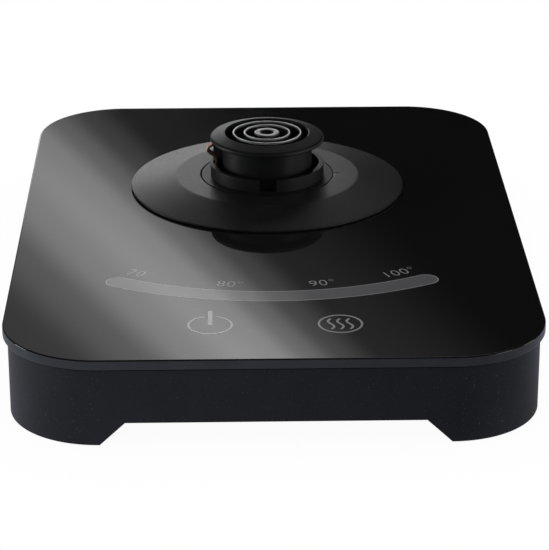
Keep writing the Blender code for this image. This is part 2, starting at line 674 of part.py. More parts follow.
PLATFORM_FOOT_RADIUS = PLATFORM_RADIUS - PLATFORM_LIP * PLATFORM_WALL


def platform_underside(radius):
    """Height of the platform's sloping underside at a radius."""
    share = (radius - PLATFORM_TOP_RADIUS) / (PLATFORM_FOOT_RADIUS - PLATFORM_TOP_RADIUS)
    return above_glass((PLATFORM_HEIGHT - PLATFORM_WALL) * (1 - share) + GAP * share)


def build_platform_disc():
    underside = platform_underside(PLATFORM_TOP_RADIUS)
    lowest = above_glass(GAP)
    profile = [
        (HUB_RADIUS + SLIP, above_glass(PLATFORM_HEIGHT)),
        (PLATFORM_TOP_RADIUS, above_glass(PLATFORM_HEIGHT)),
        (PLATFORM_RADIUS, above_glass(PLATFORM_RIM)),
        (PLATFORM_RADIUS, lowest),
        (PLATFORM_FOOT_RADIUS, lowest),
        (PLATFORM_TOP_RADIUS, underside),
        (NECK_RADIUS, underside),
        (NECK_RADIUS, GLASS_BOTTOM),
        (HUB_RADIUS + SLIP, GLASS_BOTTOM),
    ]
    disc = turned("platform_disc", profile, steps=PLATFORM_STEPS)
    for x, y in connector_screw_points():
        boss_top = above_glass(PLATFORM_HEIGHT - PLATFORM_WALL / 2)
        boss = rod("boss", (x, y, GLASS_BOTTOM), (x, y, boss_top), PLATFORM_BOSS_RADIUS, HOLE_STEPS)
        combine(disc, boss, 'UNION')
        combine(disc, screw_hole(x, y, GLASS_BOTTOM - PAST, above_glass(CONNECTOR_SCREW_TIP + 0.5 * MM)))
    tick = radial_box("tick", HUB_RADIUS, HUB_RADIUS + TICK_LENGTH, TICK_WIDTH,
                      above_glass(PLATFORM_HEIGHT - TICK_DEPTH), above_glass(PLATFORM_HEIGHT + TICK_DEPTH), 0)
    combine(disc, tick)
    finish(disc, "black_plastic")


def build_platform_seal():
    inner = PLATFORM_TOP_RADIUS + SEAL_FROM_TOP_RADIUS
    outer = inner + SEAL_WIDTH
    top = platform_underside(outer) - SEAL_FREE
    profile = [(inner, top), (outer, top), (outer, above_glass(GAP)), (inner, above_glass(GAP))]
    finish(turned("platform_seal", profile), "rubber")


def build_connector_hub():
    """Collar, trough and skirt of the connector, with the side contact's tower."""
    body = CORE_RADIUS + SLIP
    inner_collar = COLLAR_RADIUS - COLLAR_WALL
    trough = above_glass(TROUGH_FLOOR)
    trough_under = above_glass(TROUGH_FLOOR - TROUGH_THICK)
    profile = [
        (inner_collar, above_glass(COLLAR_HEIGHT)),
        (COLLAR_RADIUS, above_glass(COLLAR_HEIGHT)),
        (COLLAR_RADIUS, above_glass(PLATFORM_HEIGHT)),
        (HUB_RADIUS, above_glass(PLATFORM_HEIGHT)),
        (HUB_RADIUS, HUB_FLANGE_TOP),
        (HUB_FLANGE_RADIUS, HUB_FLANGE_TOP),
        (HUB_FLANGE_RADIUS, HUB_FLANGE_BOTTOM),
        (HUB_BORE, HUB_FLANGE_BOTTOM),
        (HUB_BORE, trough_under),
        (body, trough_under),
        (body, trough),
        (inner_collar, trough),
    ]
    hub = turned("connector_hub", profile)
    first, last = 180 - TOWER_HALF_ANGLE, 180 + TOWER_HALF_ANGLE
    tower = arc_points((AXIS_X, AXIS_Y), COLLAR_RADIUS - TOWER_INSET, first, last, 8)
    tower += arc_points((AXIS_X, AXIS_Y), body, last, first, 8)
    tower_top = above_glass(CAP_LIP) - GAP
    combine(hub, plate("tower", [tower], trough - TROUGH_THICK / 2, tower_top), 'UNION')
    slot_width = CONTACT_WIDTH + 2 * SLIP
    skin = COLLAR_RADIUS - CHANNEL_WALL
    beyond = COLLAR_RADIUS + PAST
    combine(hub, radial_box("contact_channel", CORE_RADIUS + CHANNEL_SET, skin, slot_width,
                            trough_under - PAST, tower_top + PAST, 180))
    combine(hub, radial_box("contact_window", skin - GAP, beyond, slot_width,
                            above_glass(COLLAR_HEIGHT + WINDOW_LIFT), tower_top + 2 * PAST, 180))
    notch_floor = above_glass(PLATFORM_HEIGHT + COLLAR_NOTCH_FLOOR)
    combine(hub, radial_box("front_gap", inner_collar - GAP, beyond, COLLAR_NOTCH,
                            notch_floor, above_glass(COLLAR_HEIGHT + PAST), 270))
    for x, y in connector_screw_points():
        combine(hub, screw_hole(x, y, HUB_FLANGE_BOTTOM - 1 * MM, HUB_FLANGE_TOP + 1 * MM))
    finish(hub, "black_plastic")


def ring_sides(radius):
    return radius - RING_WALL / 2, radius + RING_WALL / 2


def build_connector_core():
    """Insulating core with three ring slots around its middle post."""
    wall_top = above_glass(CORE_WALL_TOP)
    ring_top = above_glass(CAP_TOP) - RING_TRIM_HEIGHT - GAP
    inner_low, inner_high = ring_sides(INNER_RING_RADIUS)
    outer_low, outer_high = ring_sides(OUTER_RING_RADIUS)
    post_bore = SOCKET_BORE + SOCKET_TUBE_WALL + SLIP
    drum = HUB_BORE - SLIP
    profile = [
        (RECESS_RADIUS, wall_top), (CORE_RADIUS, wall_top),
        (CORE_RADIUS, above_glass(CORE_DRUM_TOP)), (drum, above_glass(CORE_DRUM_TOP)),
        (drum, HUB_FLANGE_BOTTOM), (post_bore, HUB_FLANGE_BOTTOM),
        (post_bore, ring_top), (POST_RADIUS, ring_top),
        (POST_RADIUS, SLOT_FLOOR), (inner_low, SLOT_FLOOR),
        (inner_low, ring_top), (inner_high, ring_top),
        (inner_high, SLOT_FLOOR), (outer_low, SLOT_FLOOR),
        (outer_low, ring_top), (outer_high, ring_top),
        (outer_high, SLOT_FLOOR), (RECESS_RADIUS, SLOT_FLOOR),
    ]
    core = turned("connector_core", profile)
    for label, angle, r_low, r_high in LEAVES:
        middle = (r_low + r_high) / 2
        half = STRIP_THICK / 2 + SLIP
        combine(core, radial_box(label + "_passage", middle - half, middle + half, LEAF_WIDTH + 2 * SLIP,
                                 HUB_FLANGE_BOTTOM - 1 * MM, SLOT_FLOOR + 1 * MM, angle))
    combine(core, radial_box("side_passage", CORE_RADIUS + 0.8 * MM, drum + 1 * MM, CONTACT_WIDTH + 4 * SLIP,
                             HUB_FLANGE_BOTTOM - 1 * MM, above_glass(CORE_DRUM_TOP + 1 * MM), 180))
    finish(core, "black_plastic")


def build_connector_cap():
    """Mushroom cap around the ring slots."""
    dome = []
    rise = CAP_TOP - CAP_SIDE_TOP
    reach = CAP_RADIUS - CAP_CROWN_RADIUS
    for i in range(DOME_STEPS + 1):
        angle = math.radians(90 * (1 - i / DOME_STEPS))
        height = above_glass(CAP_SIDE_TOP + rise * math.sin(angle))
        dome.append((CAP_CROWN_RADIUS + reach * math.cos(angle), height))
    fit = CORE_RADIUS + SLIP
    shoulder = above_glass(CORE_WALL_TOP) + GAP
    lip = above_glass(CAP_LIP)
    profile = [(RECESS_RADIUS, above_glass(CAP_TOP - RECESS_CHAMFER))]
    profile += [(RECESS_RADIUS + RECESS_CHAMFER, above_glass(CAP_TOP))] + dome
    profile += [(CAP_RADIUS, lip + CAP_CHAMFER), (CAP_RADIUS - CAP_CHAMFER, lip), (fit, lip), (fit, shoulder),
                (RECESS_RADIUS, shoulder)]
    finish(turned("connector_cap", profile), "black_plastic")


def build_ring_trims():
    """Bright steel rings on the tops of the walls between the slots."""
    top = above_glass(CAP_TOP - RING_SINK)
    for name, radius in (("slot_ring_outer", OUTER_RING_RADIUS), ("slot_ring_inner", INNER_RING_RADIUS)):
        low, high = ring_sides(radius)
        profile = [(low, top), (high, top), (high, top - RING_TRIM_HEIGHT), (low, top - RING_TRIM_HEIGHT)]
        finish(turned(name, profile), "steel")


def build_earth_socket():
    top = above_glass(CAP_TOP - SOCKET_SINK)
    tube_radius = SOCKET_BORE + SOCKET_TUBE_WALL
    rim = POST_RADIUS - SOCKET_SINK / 2
    bottom = TAB_END
    profile = [(SOCKET_BORE, top - SOCKET_BREAK), (SOCKET_BORE + SOCKET_BREAK, top),
               (rim - SOCKET_BREAK, top), (rim, top - SOCKET_BREAK), (rim, top - SOCKET_FLANGE),
               (tube_radius, top - SOCKET_FLANGE), (tube_radius, bottom), (SOCKET_BORE, bottom)]
    socket = turned("earth_socket", profile, steps=SMALL_STEPS)
    for angle in STAKING_ANGLES:
        low = polar((SOCKET_BORE + POST_RADIUS) / 2, angle, top - STAKING_DEPTH)
        high = low + Vector((0, 0, STAKING_DEPTH + PAST))
        combine(socket, rod("staking_dot", low, high, STAKING_RADIUS, HOLE_STEPS))
    finish(socket, "steel")


def build_side_contact():
    """Copper spring that presses outwards through the tower's window."""
    r, z = SIDE_PIVOT_RADIUS, SIDE_PIVOT_Z
    nose = SIDE_NOSE_RADIUS - STRIP_THICK / 2
    path = [(r, z - 0.6 * MM), (r, z + 4.2 * MM), (r + 1.4 * MM, z + 5.0 * MM),
            (nose - 0.35 * MM, z + 6.1 * MM), (nose, z + 6.9 * MM), (nose - 0.35 * MM, z + 7.7 * MM),
            (nose - 1.7 * MM, z + 9.2 * MM)]
    finish(strip("side_contact", path, CONTACT_WIDTH, 180, r, z), "copper")
    top = z - 0.6 * MM - GAP
    bottom = TAB_END
    tab = strip("side_terminal", [(r, top), (r, bottom)], CONTACT_WIDTH, 180, r, top)
    finish(tab, "copper")


def build_leaves():
    """Sprung contacts in the ring slots, each on its fixed terminal tab."""
    for label, angle, r_low, r_high in LEAVES:
        middle = (r_low + r_high) / 2
        foot = SLOT_FLOOR + GAP
        bends = ((0, 0), (0, 0.6), (-0.7, 0.72), (-1, 0.8), (-0.7, 0.88), (0.2, 1))
        path = [(middle + side * LEAF_NOSE, foot + share * LEAF_HEIGHT) for side, share in bends]
        finish(strip(label + "_leaf", path, LEAF_WIDTH, angle, middle, foot), "copper")
        tab = [(middle, SLOT_FLOOR), (middle, TAB_END)]
        finish(strip(label + "_terminal", tab, LEAF_WIDTH, angle, middle, SLOT_FLOOR), "copper")


def build_core_retainer():
    holes = [circle_loop((AXIS_X, AXIS_Y), RETAINER_BORE)]
    holes += [circle_loop(point, SCREW_HOLE, HOLE_STEPS) for point in connector_screw_points()]
    outline = circle_loop((AXIS_X, AXIS_Y), HUB_FLANGE_RADIUS)
    ring = plate("core_retainer", [outline] + holes, RETAINER_BOTTOM, RETAINER_TOP)
    gap_width = CONTACT_WIDTH + 4 * SLIP
    reach = SIDE_PIVOT_RADIUS + STRIP_THICK + PAST
    combine(ring, radial_box("terminal_gap", RETAINER_BORE - PAST, reach, gap_width,
                             RETAINER_BOTTOM - PAST, RETAINER_TOP + PAST, 180))
    finish(ring, "grey_plastic")
    for i, (x, y) in enumerate(connector_screw_points(), start=1):
        screw("connector_screw_%d" % i, x, y, RETAINER_BOTTOM - GAP, above_glass(CONNECTOR_SCREW_TIP))


# ---- controls --------------------------------------------------------------------
def build_touch_board():
    middle = (0, (TOUCH_BACK + TOUCH_FRONT) / 2)
    outline = rounded_rectangle(TOUCH_WIDTH, TOUCH_BACK - TOUCH_FRONT, TOUCH_CORNER, middle, 4)
    holes = [circle_loop(point, SCREW_HOLE, HOLE_STEPS) for point in touch_screw_points()]
    board = plate("touch_board", [outline] + holes, TOUCH_BOTTOM, TOUCH_TOP)
    spots = [(side * ICON_X, ICON_Y) for side in (-1, 1)]
    for i in range(LED_COUNT):
        angle = 270 + SLIDER_HALF_ANGLE * (2 * i / (LED_COUNT - 1) - 1)
        spots.append(tuple(polar(SLIDER_RADIUS, angle)[:2]))
    for x, y in spots:
        low = Vector((x - LED_WIDTH / 2, y - LED_DEPTH / 2, TOUCH_TOP - BOARD_THICK / 2))
        high = low + Vector((LED_WIDTH, LED_DEPTH, BOARD_THICK / 2 + LED_HEIGHT))
        combine(board, box("led", low, high), 'UNION')
    finish(board, "circuit_board")
    for i, (x, y) in enumerate(touch_screw_points(), start=1):
        screw("touch_board_screw_%d" % i, x, y, TOUCH_BOTTOM - GAP, CHASSIS_TOP - 0.2 * MM)


def build_light_guides():
    low = TOUCH_TOP + LED_HEIGHT + GAP
    finish(plate("slider_light_guide", [slider_outline()], low, CHASSIS_TOP), "light_guide")
    for name, side in (("power_light_guide", -1), ("warm_light_guide", 1)):
        finish(plate(name, [icon_outline(side)], low, CHASSIS_TOP), "light_guide")


# ---- power electronics --------------------------------------------------------------
def on_board(offset, height=0.0):
    """Point on the power board, from the board's centre, at a height above its surface."""
    return Vector((POWER_X + offset[0], POWER_Y + offset[1], POWER_TOP + GAP + height))


def build_power_board():
    outline = rounded_rectangle(POWER_WIDTH, POWER_DEPTH, POWER_CORNER, (POWER_X, POWER_Y), 4)
    holes = [circle_loop(point, SCREW_HOLE, HOLE_STEPS) for point in power_board_screw_points()]
    finish(plate("power_board", [outline] + holes, POWER_BOTTOM, POWER_TOP), "circuit_board")
    for i, (x, y) in enumerate(power_board_screw_points(), start=1):
        screw("power_board_screw_%d" % i, x, y, POWER_TOP + GAP, BASE_PLATE_BOTTOM + 0.9 * MM)


def build_components():
    headroom = CHASSIS_BOTTOM - POWER_TOP - 3 * GAP
    for name, offset, width, depth, edge, finish_name in BOXED_PARTS:
        reach = Vector((width / 2, depth / 2, 0))
        part = box(name, on_board(offset) - reach, on_board(offset, headroom) + reach)
        finish(soften(part, edge), finish_name)
    middle, half = on_board(BULK_CAPACITOR, BULK_CAPACITOR_RADIUS), Vector((BULK_CAPACITOR_LENGTH / 2, 0, 0))
    can = rod("bulk_capacitor", middle - half, middle + half, BULK_CAPACITOR_RADIUS)
    finish(soften(can, 0.5 * MM), "sleeve_black")
    middle, half = on_board(FUSE, FUSE_RADIUS), Vector((0, FUSE_LENGTH / 2, 0))
    finish(rod("fuse", middle - half, middle + half, FUSE_RADIUS, HOLE_STEPS), "fuse_glass")
    spot = on_board(BUZZER)
    profile = [(0, BUZZER_HEIGHT), (BUZZER_RADIUS - BUZZER_BREAK, BUZZER_HEIGHT),
               (BUZZER_RADIUS, BUZZER_HEIGHT - BUZZER_BREAK), (BUZZER_RADIUS, 0), (0, 0)]
    finish(turned("buzzer", profile, spot[:2], spot.z, closed=False, steps=SMALL_STEPS), "sleeve_black")


def terminal_foot(radius, angle):
    """Where a wire meets the lower end of one of the fixed terminals."""
    return polar(radius, angle, TAB_END - GAP - WIRE_RADIUS)


def beside(point, dx, dy, z):
    """Point at a level height, moved sideways from another one."""
    return Vector((point.x + dx, point.y + dy, z))


def build_wires():
    """Hook-up wires from the power board to the connector's terminals."""
    low = BASE_PLATE_TOP + WIRE_LOW
    feet = [terminal_foot((r_low + r_high) / 2, angle) for _, angle, r_low, r_high in LEAVES]
    live, neutral, signal = feet
    earth = Vector((AXIS_X, AXIS_Y, live.z))
    _, block_offset, block_width, _, _, _ = BOXED_PARTS[-1]
    start = on_board(block_offset, WIRE_RISE - GAP) + Vector((block_width / 2 + GAP + WIRE_RADIUS, 0, 0))
    lead = start.z - PAST
    neutral_start = beside(start, 0, WIRE_SPACING, start.z)
    earth_start = beside(start, 0, -WIRE_SPACING, start.z)
    signal_start = on_board(SIGNAL_START, WIRE_RADIUS)
    routes = {
        "live_wire": [start, beside(start, 5 * MM, 0, lead), beside(live, -20 * MM, 16 * MM, low),
                      beside(live, -4 * MM, 6 * MM, low), live],
        "neutral_wire": [neutral_start, beside(neutral_start, 5 * MM, 0, lead),
                         beside(live, -14 * MM, 24 * MM, low), beside(live, 8 * MM, 12 * MM, low),
                         beside(neutral, 3 * MM, 7 * MM, low), neutral],
        "earth_wire": [earth_start, beside(earth_start, 5 * MM, -0.4 * MM, lead),
                       beside(earth, -24 * MM, 21 * MM, low), beside(earth, -8 * MM, 6 * MM, low), earth],
        "signal_wire": [signal_start, beside(signal_start, 8 * MM, 1 * MM, POWER_TOP + WIRE_RADIUS),
                        beside(signal, -12 * MM, -12 * MM, low), beside(signal, -3 * MM, -4 * MM, low),
                        signal],
    }
    for name, points in routes.items():
        finish(tube(name, points, WIRE_RADIUS), name)


def build_ribbon_cable():
    """Flat cable from the power board's front end to the touch board's underside."""
    top = TOUCH_BOTTOM - GAP - STRIP_THICK / 2
    path = [(POWER_FRONT + 12 * MM, POWER_TOP + 0.6 * MM), (POWER_FRONT + 5 * MM, POWER_TOP + 0.8 * MM),
            (POWER_FRONT - 2 * MM, POWER_TOP + 1.2 * MM), (POWER_FRONT - 9 * MM, POWER_TOP + 3.0 * MM),
            (POWER_FRONT - 15 * MM, TOUCH_BOTTOM - 1.2 * MM), (POWER_FRONT - 21 * MM, top)]
    cable = plate("ribbon_cable", [strip_outline(path, STRIP_THICK)], -RIBBON_WIDTH / 2, RIBBON_WIDTH / 2)
    turn = Matrix.Rotation(math.radians(90), 4, 'Z') @ Matrix.Rotation(math.radians(90), 4, 'X')
    cable.matrix_world = Matrix.Translation((POWER_X + RIBBON_SIDE, 0, 0)) @ turn
    finish(cable, "ribbon_grey")


FINISHES = {
    "black_glass": ((0.010, 0.010, 0.011), 0.05, 0.0),
    "black_plastic": ((0.022, 0.023, 0.025), 0.50, 0.0),
    "grey_plastic": ((0.10, 0.10, 0.11), 0.55, 0.0),
    "rubber": ((0.03, 0.03, 0.03), 0.85, 0.0),
    "zinc": ((0.60, 0.60, 0.58), 0.35, 1.0),
    "steel": ((0.70, 0.70, 0.70), 0.22, 1.0),
    "copper": ((0.80, 0.45, 0.32), 0.28, 1.0),
    "light_guide": ((0.75, 0.76, 0.78), 0.45, 0.0),
    "circuit_board": ((0.03, 0.16, 0.07), 0.45, 0.0),
    "relay_blue": ((0.04, 0.13, 0.38), 0.40, 0.0),
    "coil_yellow": ((0.75, 0.55, 0.08), 0.45, 0.0),
    "capacitor_grey": ((0.45, 0.46, 0.48), 0.40, 0.0),
    "terminal_green": ((0.05, 0.30, 0.12), 0.40, 0.0),
    "sleeve_black": ((0.03, 0.03, 0.04), 0.35, 0.0),
    "fuse_glass": ((0.80, 0.82, 0.82), 0.10, 0.0),
    "live_wire": ((0.30, 0.13, 0.05), 0.45, 0.0),
    "neutral_wire": ((0.05, 0.15, 0.50), 0.45, 0.0),
    "earth_wire": ((0.25, 0.50, 0.08), 0.45, 0.0),
    "signal_wire": ((0.75, 0.75, 0.72), 0.45, 0.0),
    "ribbon_grey": ((0.55, 0.56, 0.58), 0.50, 0.0),
}

clear_scene()
PARTS = make_collection(COLLECTION)
TOOLS = make_collection("cutters")

build_glass()
build_upper_chassis()
build_lower_housing()
build_base_plate()
build_feet()
build_housing_screws()
build_gland()
build_platform_disc()
build_platform_seal()
build_connector_hub()
build_connector_core()
build_connector_cap()
build_ring_trims()
build_earth_socket()
build_side_contact()
build_leaves()
build_core_retainer()
build_touch_board()
build_light_guides()
build_power_board()
build_components()
build_wires()
build_ribbon_cable()
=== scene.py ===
"""Looks of the powered base of a cordless electric kettle.

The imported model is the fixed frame.  The classes below build the fine outer
pieces around it, give every piece its finish, and set the studio and camera.
Lengths are metres; sizes written in millimetres are multiplied by MM.
"""

import logging
import math
from dataclasses import dataclass, field
from enum import Enum
from typing import Callable, Iterable, Sequence

import bpy
from mathutils import Matrix, Vector


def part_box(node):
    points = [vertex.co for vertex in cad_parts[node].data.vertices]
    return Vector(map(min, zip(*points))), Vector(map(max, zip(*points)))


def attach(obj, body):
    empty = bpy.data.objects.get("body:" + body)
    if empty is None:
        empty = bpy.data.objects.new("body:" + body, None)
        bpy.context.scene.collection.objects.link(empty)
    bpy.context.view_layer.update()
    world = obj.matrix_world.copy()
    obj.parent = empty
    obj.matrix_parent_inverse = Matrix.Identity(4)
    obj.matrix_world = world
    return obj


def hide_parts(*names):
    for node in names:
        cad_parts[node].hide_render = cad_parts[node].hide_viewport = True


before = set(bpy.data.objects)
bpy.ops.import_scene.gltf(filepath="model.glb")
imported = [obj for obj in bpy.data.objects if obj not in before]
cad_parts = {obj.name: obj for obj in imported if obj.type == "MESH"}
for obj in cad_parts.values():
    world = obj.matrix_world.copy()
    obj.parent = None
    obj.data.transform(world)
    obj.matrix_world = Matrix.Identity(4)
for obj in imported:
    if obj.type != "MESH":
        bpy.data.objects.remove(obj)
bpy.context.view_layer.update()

MM = 0.001
FULL_TURN = 2 * math.pi
TURN_STEPS = 144
WELD = 1e-6
PATTERN_MIDDLE = (0.3, 0.7)

Object = bpy.types.Object
Material = bpy.types.Material
Socket = bpy.types.NodeSocket
Point = tuple[float, float]
Colour = tuple[float, float, float]
log = logging.getLogger("kettle_base")
MADE: dict[str, Material] = {}


class Body(Enum):
    """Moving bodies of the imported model."""

    BASE = "base"
    SIDE_CONTACT = "side_contact_spring"


class Axis(Enum):
    """Directions that a turned piece can stand along."""

    UP = (0.0, 0.0, 1.0)
    REAR = (0.0, 1.0, 0.0)


class Cut(Enum):
    """What a second shape does to a piece."""

    REMOVE = "DIFFERENCE"
    JOIN = "UNION"


# ---- finishes ---------------------------------------------------------------
class Nodes:
    """Short hand for building one node material."""

    def __init__(self, name: str) -> None:
        """Start a material that holds only a shader and its output.

        Args:
            name: name of the new material.
        """
        self.material: Material = bpy.data.materials.new(name)
        self.material.use_nodes = True
        self.tree = self.material.node_tree
        self.shader = self.tree.nodes["Principled BSDF"]

    def add(self, kind: str, **settings: object) -> bpy.types.Node:
        """Add a node.

        Args:
            kind: Blender's name of the node type, without its prefix.
            settings: attributes of the node to set.

        Returns:
            The new node.
        """
        node = self.tree.nodes.new("ShaderNode" + kind)
        for key, value in settings.items():
            setattr(node, key, value)
        return node

    def link(self, source: Socket, target: Socket) -> None:
        """Join an output to an input."""
        self.tree.links.new(source, target)

    def feed(self, name: str, source: Socket) -> None:
        """Join an output to one of the shader's own inputs."""
        self.link(source, self.shader.inputs[name])

    def show(self, surface: Socket) -> Material:
        """Send a shader to the material's output and return the material."""
        self.link(surface, self.tree.nodes["Material Output"].inputs["Surface"])
        return self.material

    def place(self, stretch: Sequence[float] = (1.0, 1.0, 1.0)) -> Socket:
        """Return the piece's own coordinates, stretched along each axis."""
        mapping = self.add("Mapping")
        mapping.inputs["Scale"].default_value = stretch
        self.link(self.add("TexCoord").outputs["Object"], mapping.inputs["Vector"])
        return mapping.outputs["Vector"]

    def noise(self, size: float, detail: float = 2.0, stretch: Sequence[float] = (1.0, 1.0, 1.0)) -> Socket:
        """Add a noise pattern.

        Args:
            size: rough width of one patch of the pattern.
            detail: how many finer layers the pattern has.
            stretch: factor on each axis of the coordinates.

        Returns:
            The pattern's value, about 0.5 on average.
        """
        noise = self.add("TexNoise")
        noise.inputs["Scale"].default_value = 1 / size
        noise.inputs["Detail"].default_value = detail
        self.link(self.place(stretch), noise.inputs["Vector"])
        return noise.outputs["Fac"]

    def rescale(self, value: Socket, source: Point, target: Point) -> bpy.types.Node:
        """Map one range of values to another.

        Args:
            value: the value to map.
            source: ends of the range that it comes from.
            target: ends of the range that it goes to.

        Returns:
            The mapping node, whose first output is the new value.
        """
        node = self.add("MapRange")
        for name, number in zip(("From Min", "From Max", "To Min", "To Max"), (*source, *target)):
            node.inputs[name].default_value = number
        self.link(value, node.inputs["Value"])
        return node

    def spread(self, value: Socket, low: float, high: float) -> Socket:
        """Map a pattern's middle range to a range of values."""
        return self.rescale(value, PATTERN_MIDDLE, (low, high)).outputs["Result"]

    def ramp(self, value: Socket, stops: Sequence[tuple[float, Sequence[float]]],
             how: str = "LINEAR") -> Socket:
        """Turn a value into a colour.

        Args:
            value: the value, from 0 to 1.
            stops: pairs of a position and the colour there, in order.
            how: Blender's name of the way that the colours blend.

        Returns:
            The colour output.
        """
        node = self.add("ValToRGB")
        node.color_ramp.interpolation = how
        ends = node.color_ramp.elements
        while len(ends) < len(stops):
            ends.new(0.5)
        for end, (position, colour) in zip(ends, stops):
            end.position = position
            end.color = (*colour, 1.0)
        self.link(value, node.inputs["Fac"])
        return node.outputs["Color"]

    def mottled(self, colour: Colour, share: float, size: float) -> Socket:
        """Vary a colour by a share of itself, in soft patches of a size."""
        tones = [[part * (1 + change) for part in colour] for change in (-share, share)]
        return self.ramp(self.noise(size, 3.0), list(zip(PATTERN_MIDDLE, tones)))

    def lay(self, share: Socket, base: Socket, colour: Colour) -> Socket:
        """Lay a plain colour over a base where a pattern is light."""
        node = self.add("Mix", data_type="RGBA")
        self.link(share, node.inputs["Factor"])
        self.link(base, node.inputs["A"])
        node.inputs["B"].default_value = (*colour, 1.0)
        return node.outputs["Result"]

    def bump(self, height: Socket, depth: float, below: Socket | None = None) -> Socket:
        """Add a bump of a real depth, on top of another one if it is given."""
        node = self.add("Bump")
        node.inputs["Strength"].default_value = 1.0
        node.inputs["Distance"].default_value = depth
        self.link(height, node.inputs["Height"])
        if below is not None:
            self.link(below, node.inputs["Normal"])
        return node.outputs["Normal"]

    def glow(self, strength: Socket | None = None) -> bpy.types.Node:
        """Add a white glow, with its strength from a pattern if one is given."""
        node = self.add("Emission")
        if strength is not None:
            self.link(strength, node.inputs["Strength"])
        return node

    def set(self, **values: float) -> None:
        """Set the shader's own sockets, with underscores for spaces."""
        for key, value in values.items():
            self.shader.inputs[key.replace("_", " ")].default_value = value


@dataclass(frozen=True)
class Finish:
    """A moulded or polished surface with grain, mottled colour and uneven gloss."""

    name: str
    colour: Colour
    roughness: float
    metallic: float = 0.0
    mottle: float = 0.12
    mottle_size: float = 9 * MM
    uneven: float = 0.04
    grain_size: float = 0.35 * MM
    grain_depth: float = 0.006 * MM
    stretch: tuple[float, float, float] = (1.0, 1.0, 1.0)
    extra: tuple[tuple[str, float], ...] = ()

    def base(self, nodes: Nodes) -> Socket:
        """Return the surface's colour."""
        return nodes.mottled(self.colour, self.mottle, self.mottle_size)

    def relief(self, nodes: Nodes) -> Socket | None:
        """Return the coarse relief under the grain, which a plain surface doesn't have."""
        return None

    def make(self) -> Material:
        """Build the finish's node material.

        Returns:
            The new material.
        """
        nodes = Nodes(self.name)
        nodes.feed("Base Color", self.base(nodes))
        grain = nodes.noise(self.grain_size, 3.0, self.stretch)
        nodes.feed("Roughness", nodes.spread(grain, self.roughness - self.uneven,
                                             self.roughness + self.uneven))
        nodes.feed("Normal", nodes.bump(grain, self.grain_depth, self.relief(nodes)))
        nodes.set(Metallic=self.metallic, **dict(self.extra))
        return nodes.material


@dataclass(frozen=True)
class SparkedFinish(Finish):
    """Spark eroded plastic: two sizes of grain and a light fleck here and there."""

    coarse_size: float = 0.9 * MM
    coarse_depth: float = 0.01 * MM
    fleck: Colour = (0.06, 0.065, 0.074)
    fleck_size: float = 0.45 * MM
    fleck_share: float = 0.74
    fleck_edge: float = 0.08

    def base(self, nodes: Nodes) -> Socket:
        """Return the surface's colour with its flecks."""
        stops = [(self.fleck_share, (0, 0, 0)), (self.fleck_share + self.fleck_edge, (1, 1, 1))]
        flecks = nodes.ramp(nodes.noise(self.fleck_size, 0.0), stops)
        return nodes.lay(flecks, super().base(nodes), self.fleck)

    def relief(self, nodes: Nodes) -> Socket:
        """Return the coarse relief under the grain."""
        return nodes.bump(nodes.noise(self.coarse_size, 1.0), self.coarse_depth)


@dataclass(frozen=True)
class BoardFinish:
    """Circuit board: solder mask over copper tracks and small solder dots."""

    name: str
    mask: Colour = (0.012, 0.075, 0.03)
    mask_light: float = 1.15
    track: Colour = (0.03, 0.16, 0.06)
    solder: Colour = (0.62, 0.62, 0.6)
    track_pitch: float = 2.4 * MM
    track_share: float = 0.12
    track_rise: float = 0.03 * MM
    dot_pitch: float = 5.0 * MM
    dot_edge: Point = (0.1, 0.14)

    def make(self) -> Material:
        """Build the board's node material.

        Returns:
            The new material.
        """
        nodes = Nodes(self.name)
        tracks = nodes.add("TexBrick")
        tracks.inputs["Scale"].default_value = 1 / self.track_pitch
        tracks.inputs["Mortar Size"].default_value = self.track_share
        tracks.inputs["Color1"].default_value = (*self.mask, 1.0)
        tracks.inputs["Color2"].default_value = (*[part * self.mask_light for part in self.mask], 1.0)
        tracks.inputs["Mortar"].default_value = (*self.track, 1.0)
        nodes.link(nodes.place(), tracks.inputs["Vector"])
        dots = nodes.add("TexVoronoi")
        dots.inputs["Scale"].default_value = 1 / self.dot_pitch
        nodes.link(nodes.place(), dots.inputs["Vector"])
        near = nodes.ramp(dots.outputs["Distance"], list(zip(self.dot_edge, ((1, 1, 1), (0, 0, 0)))))
        nodes.feed("Base Color", nodes.lay(near, tracks.outputs["Color"], self.solder))
        nodes.feed("Roughness", nodes.spread(nodes.noise(4 * MM), 0.3, 0.42))
        nodes.feed("Normal", nodes.bump(tracks.outputs["Fac"], self.track_rise))
        return nodes.material


BLACK_GLASS = Finish("black_glass", (0.0122, 0.0122, 0.013), 0.035, mottle=0.05, mottle_size=40 * MM,
                     uneven=0.006, grain_size=14 * MM, grain_depth=0.0, extra=(("IOR", 1.5),))
GROUND_GLASS = Finish("ground_glass_edge", (0.034, 0.037, 0.044), 0.36, mottle=0.15, mottle_size=6 * MM,
                      grain_size=0.25 * MM, grain_depth=0.004 * MM)
HOUSING_PLASTIC = SparkedFinish("housing_plastic", (0.0140, 0.0158, 0.0198), 0.45, mottle=0.14,
                                mottle_size=14 * MM, grain_size=0.3 * MM, grain_depth=0.012 * MM,
                                extra=(("Specular_IOR_Level", 0.32),))
PLATFORM_PLASTIC = SparkedFinish("platform_plastic", (0.012, 0.012, 0.0125), 0.42, mottle=0.1, uneven=0.12,
                                 grain_size=0.4 * MM, grain_depth=0.02 * MM, coarse_depth=0.006 * MM,
                                 fleck=(0.034, 0.034, 0.037), fleck_size=0.4 * MM, fleck_share=0.6)
CONNECTOR_PLASTIC = Finish("connector_plastic", (0.013, 0.013, 0.0138), 0.46, mottle=0.12, mottle_size=7 * MM,
                           grain_size=0.3 * MM, grain_depth=0.004 * MM, extra=(("Specular_IOR_Level", 0.4),))
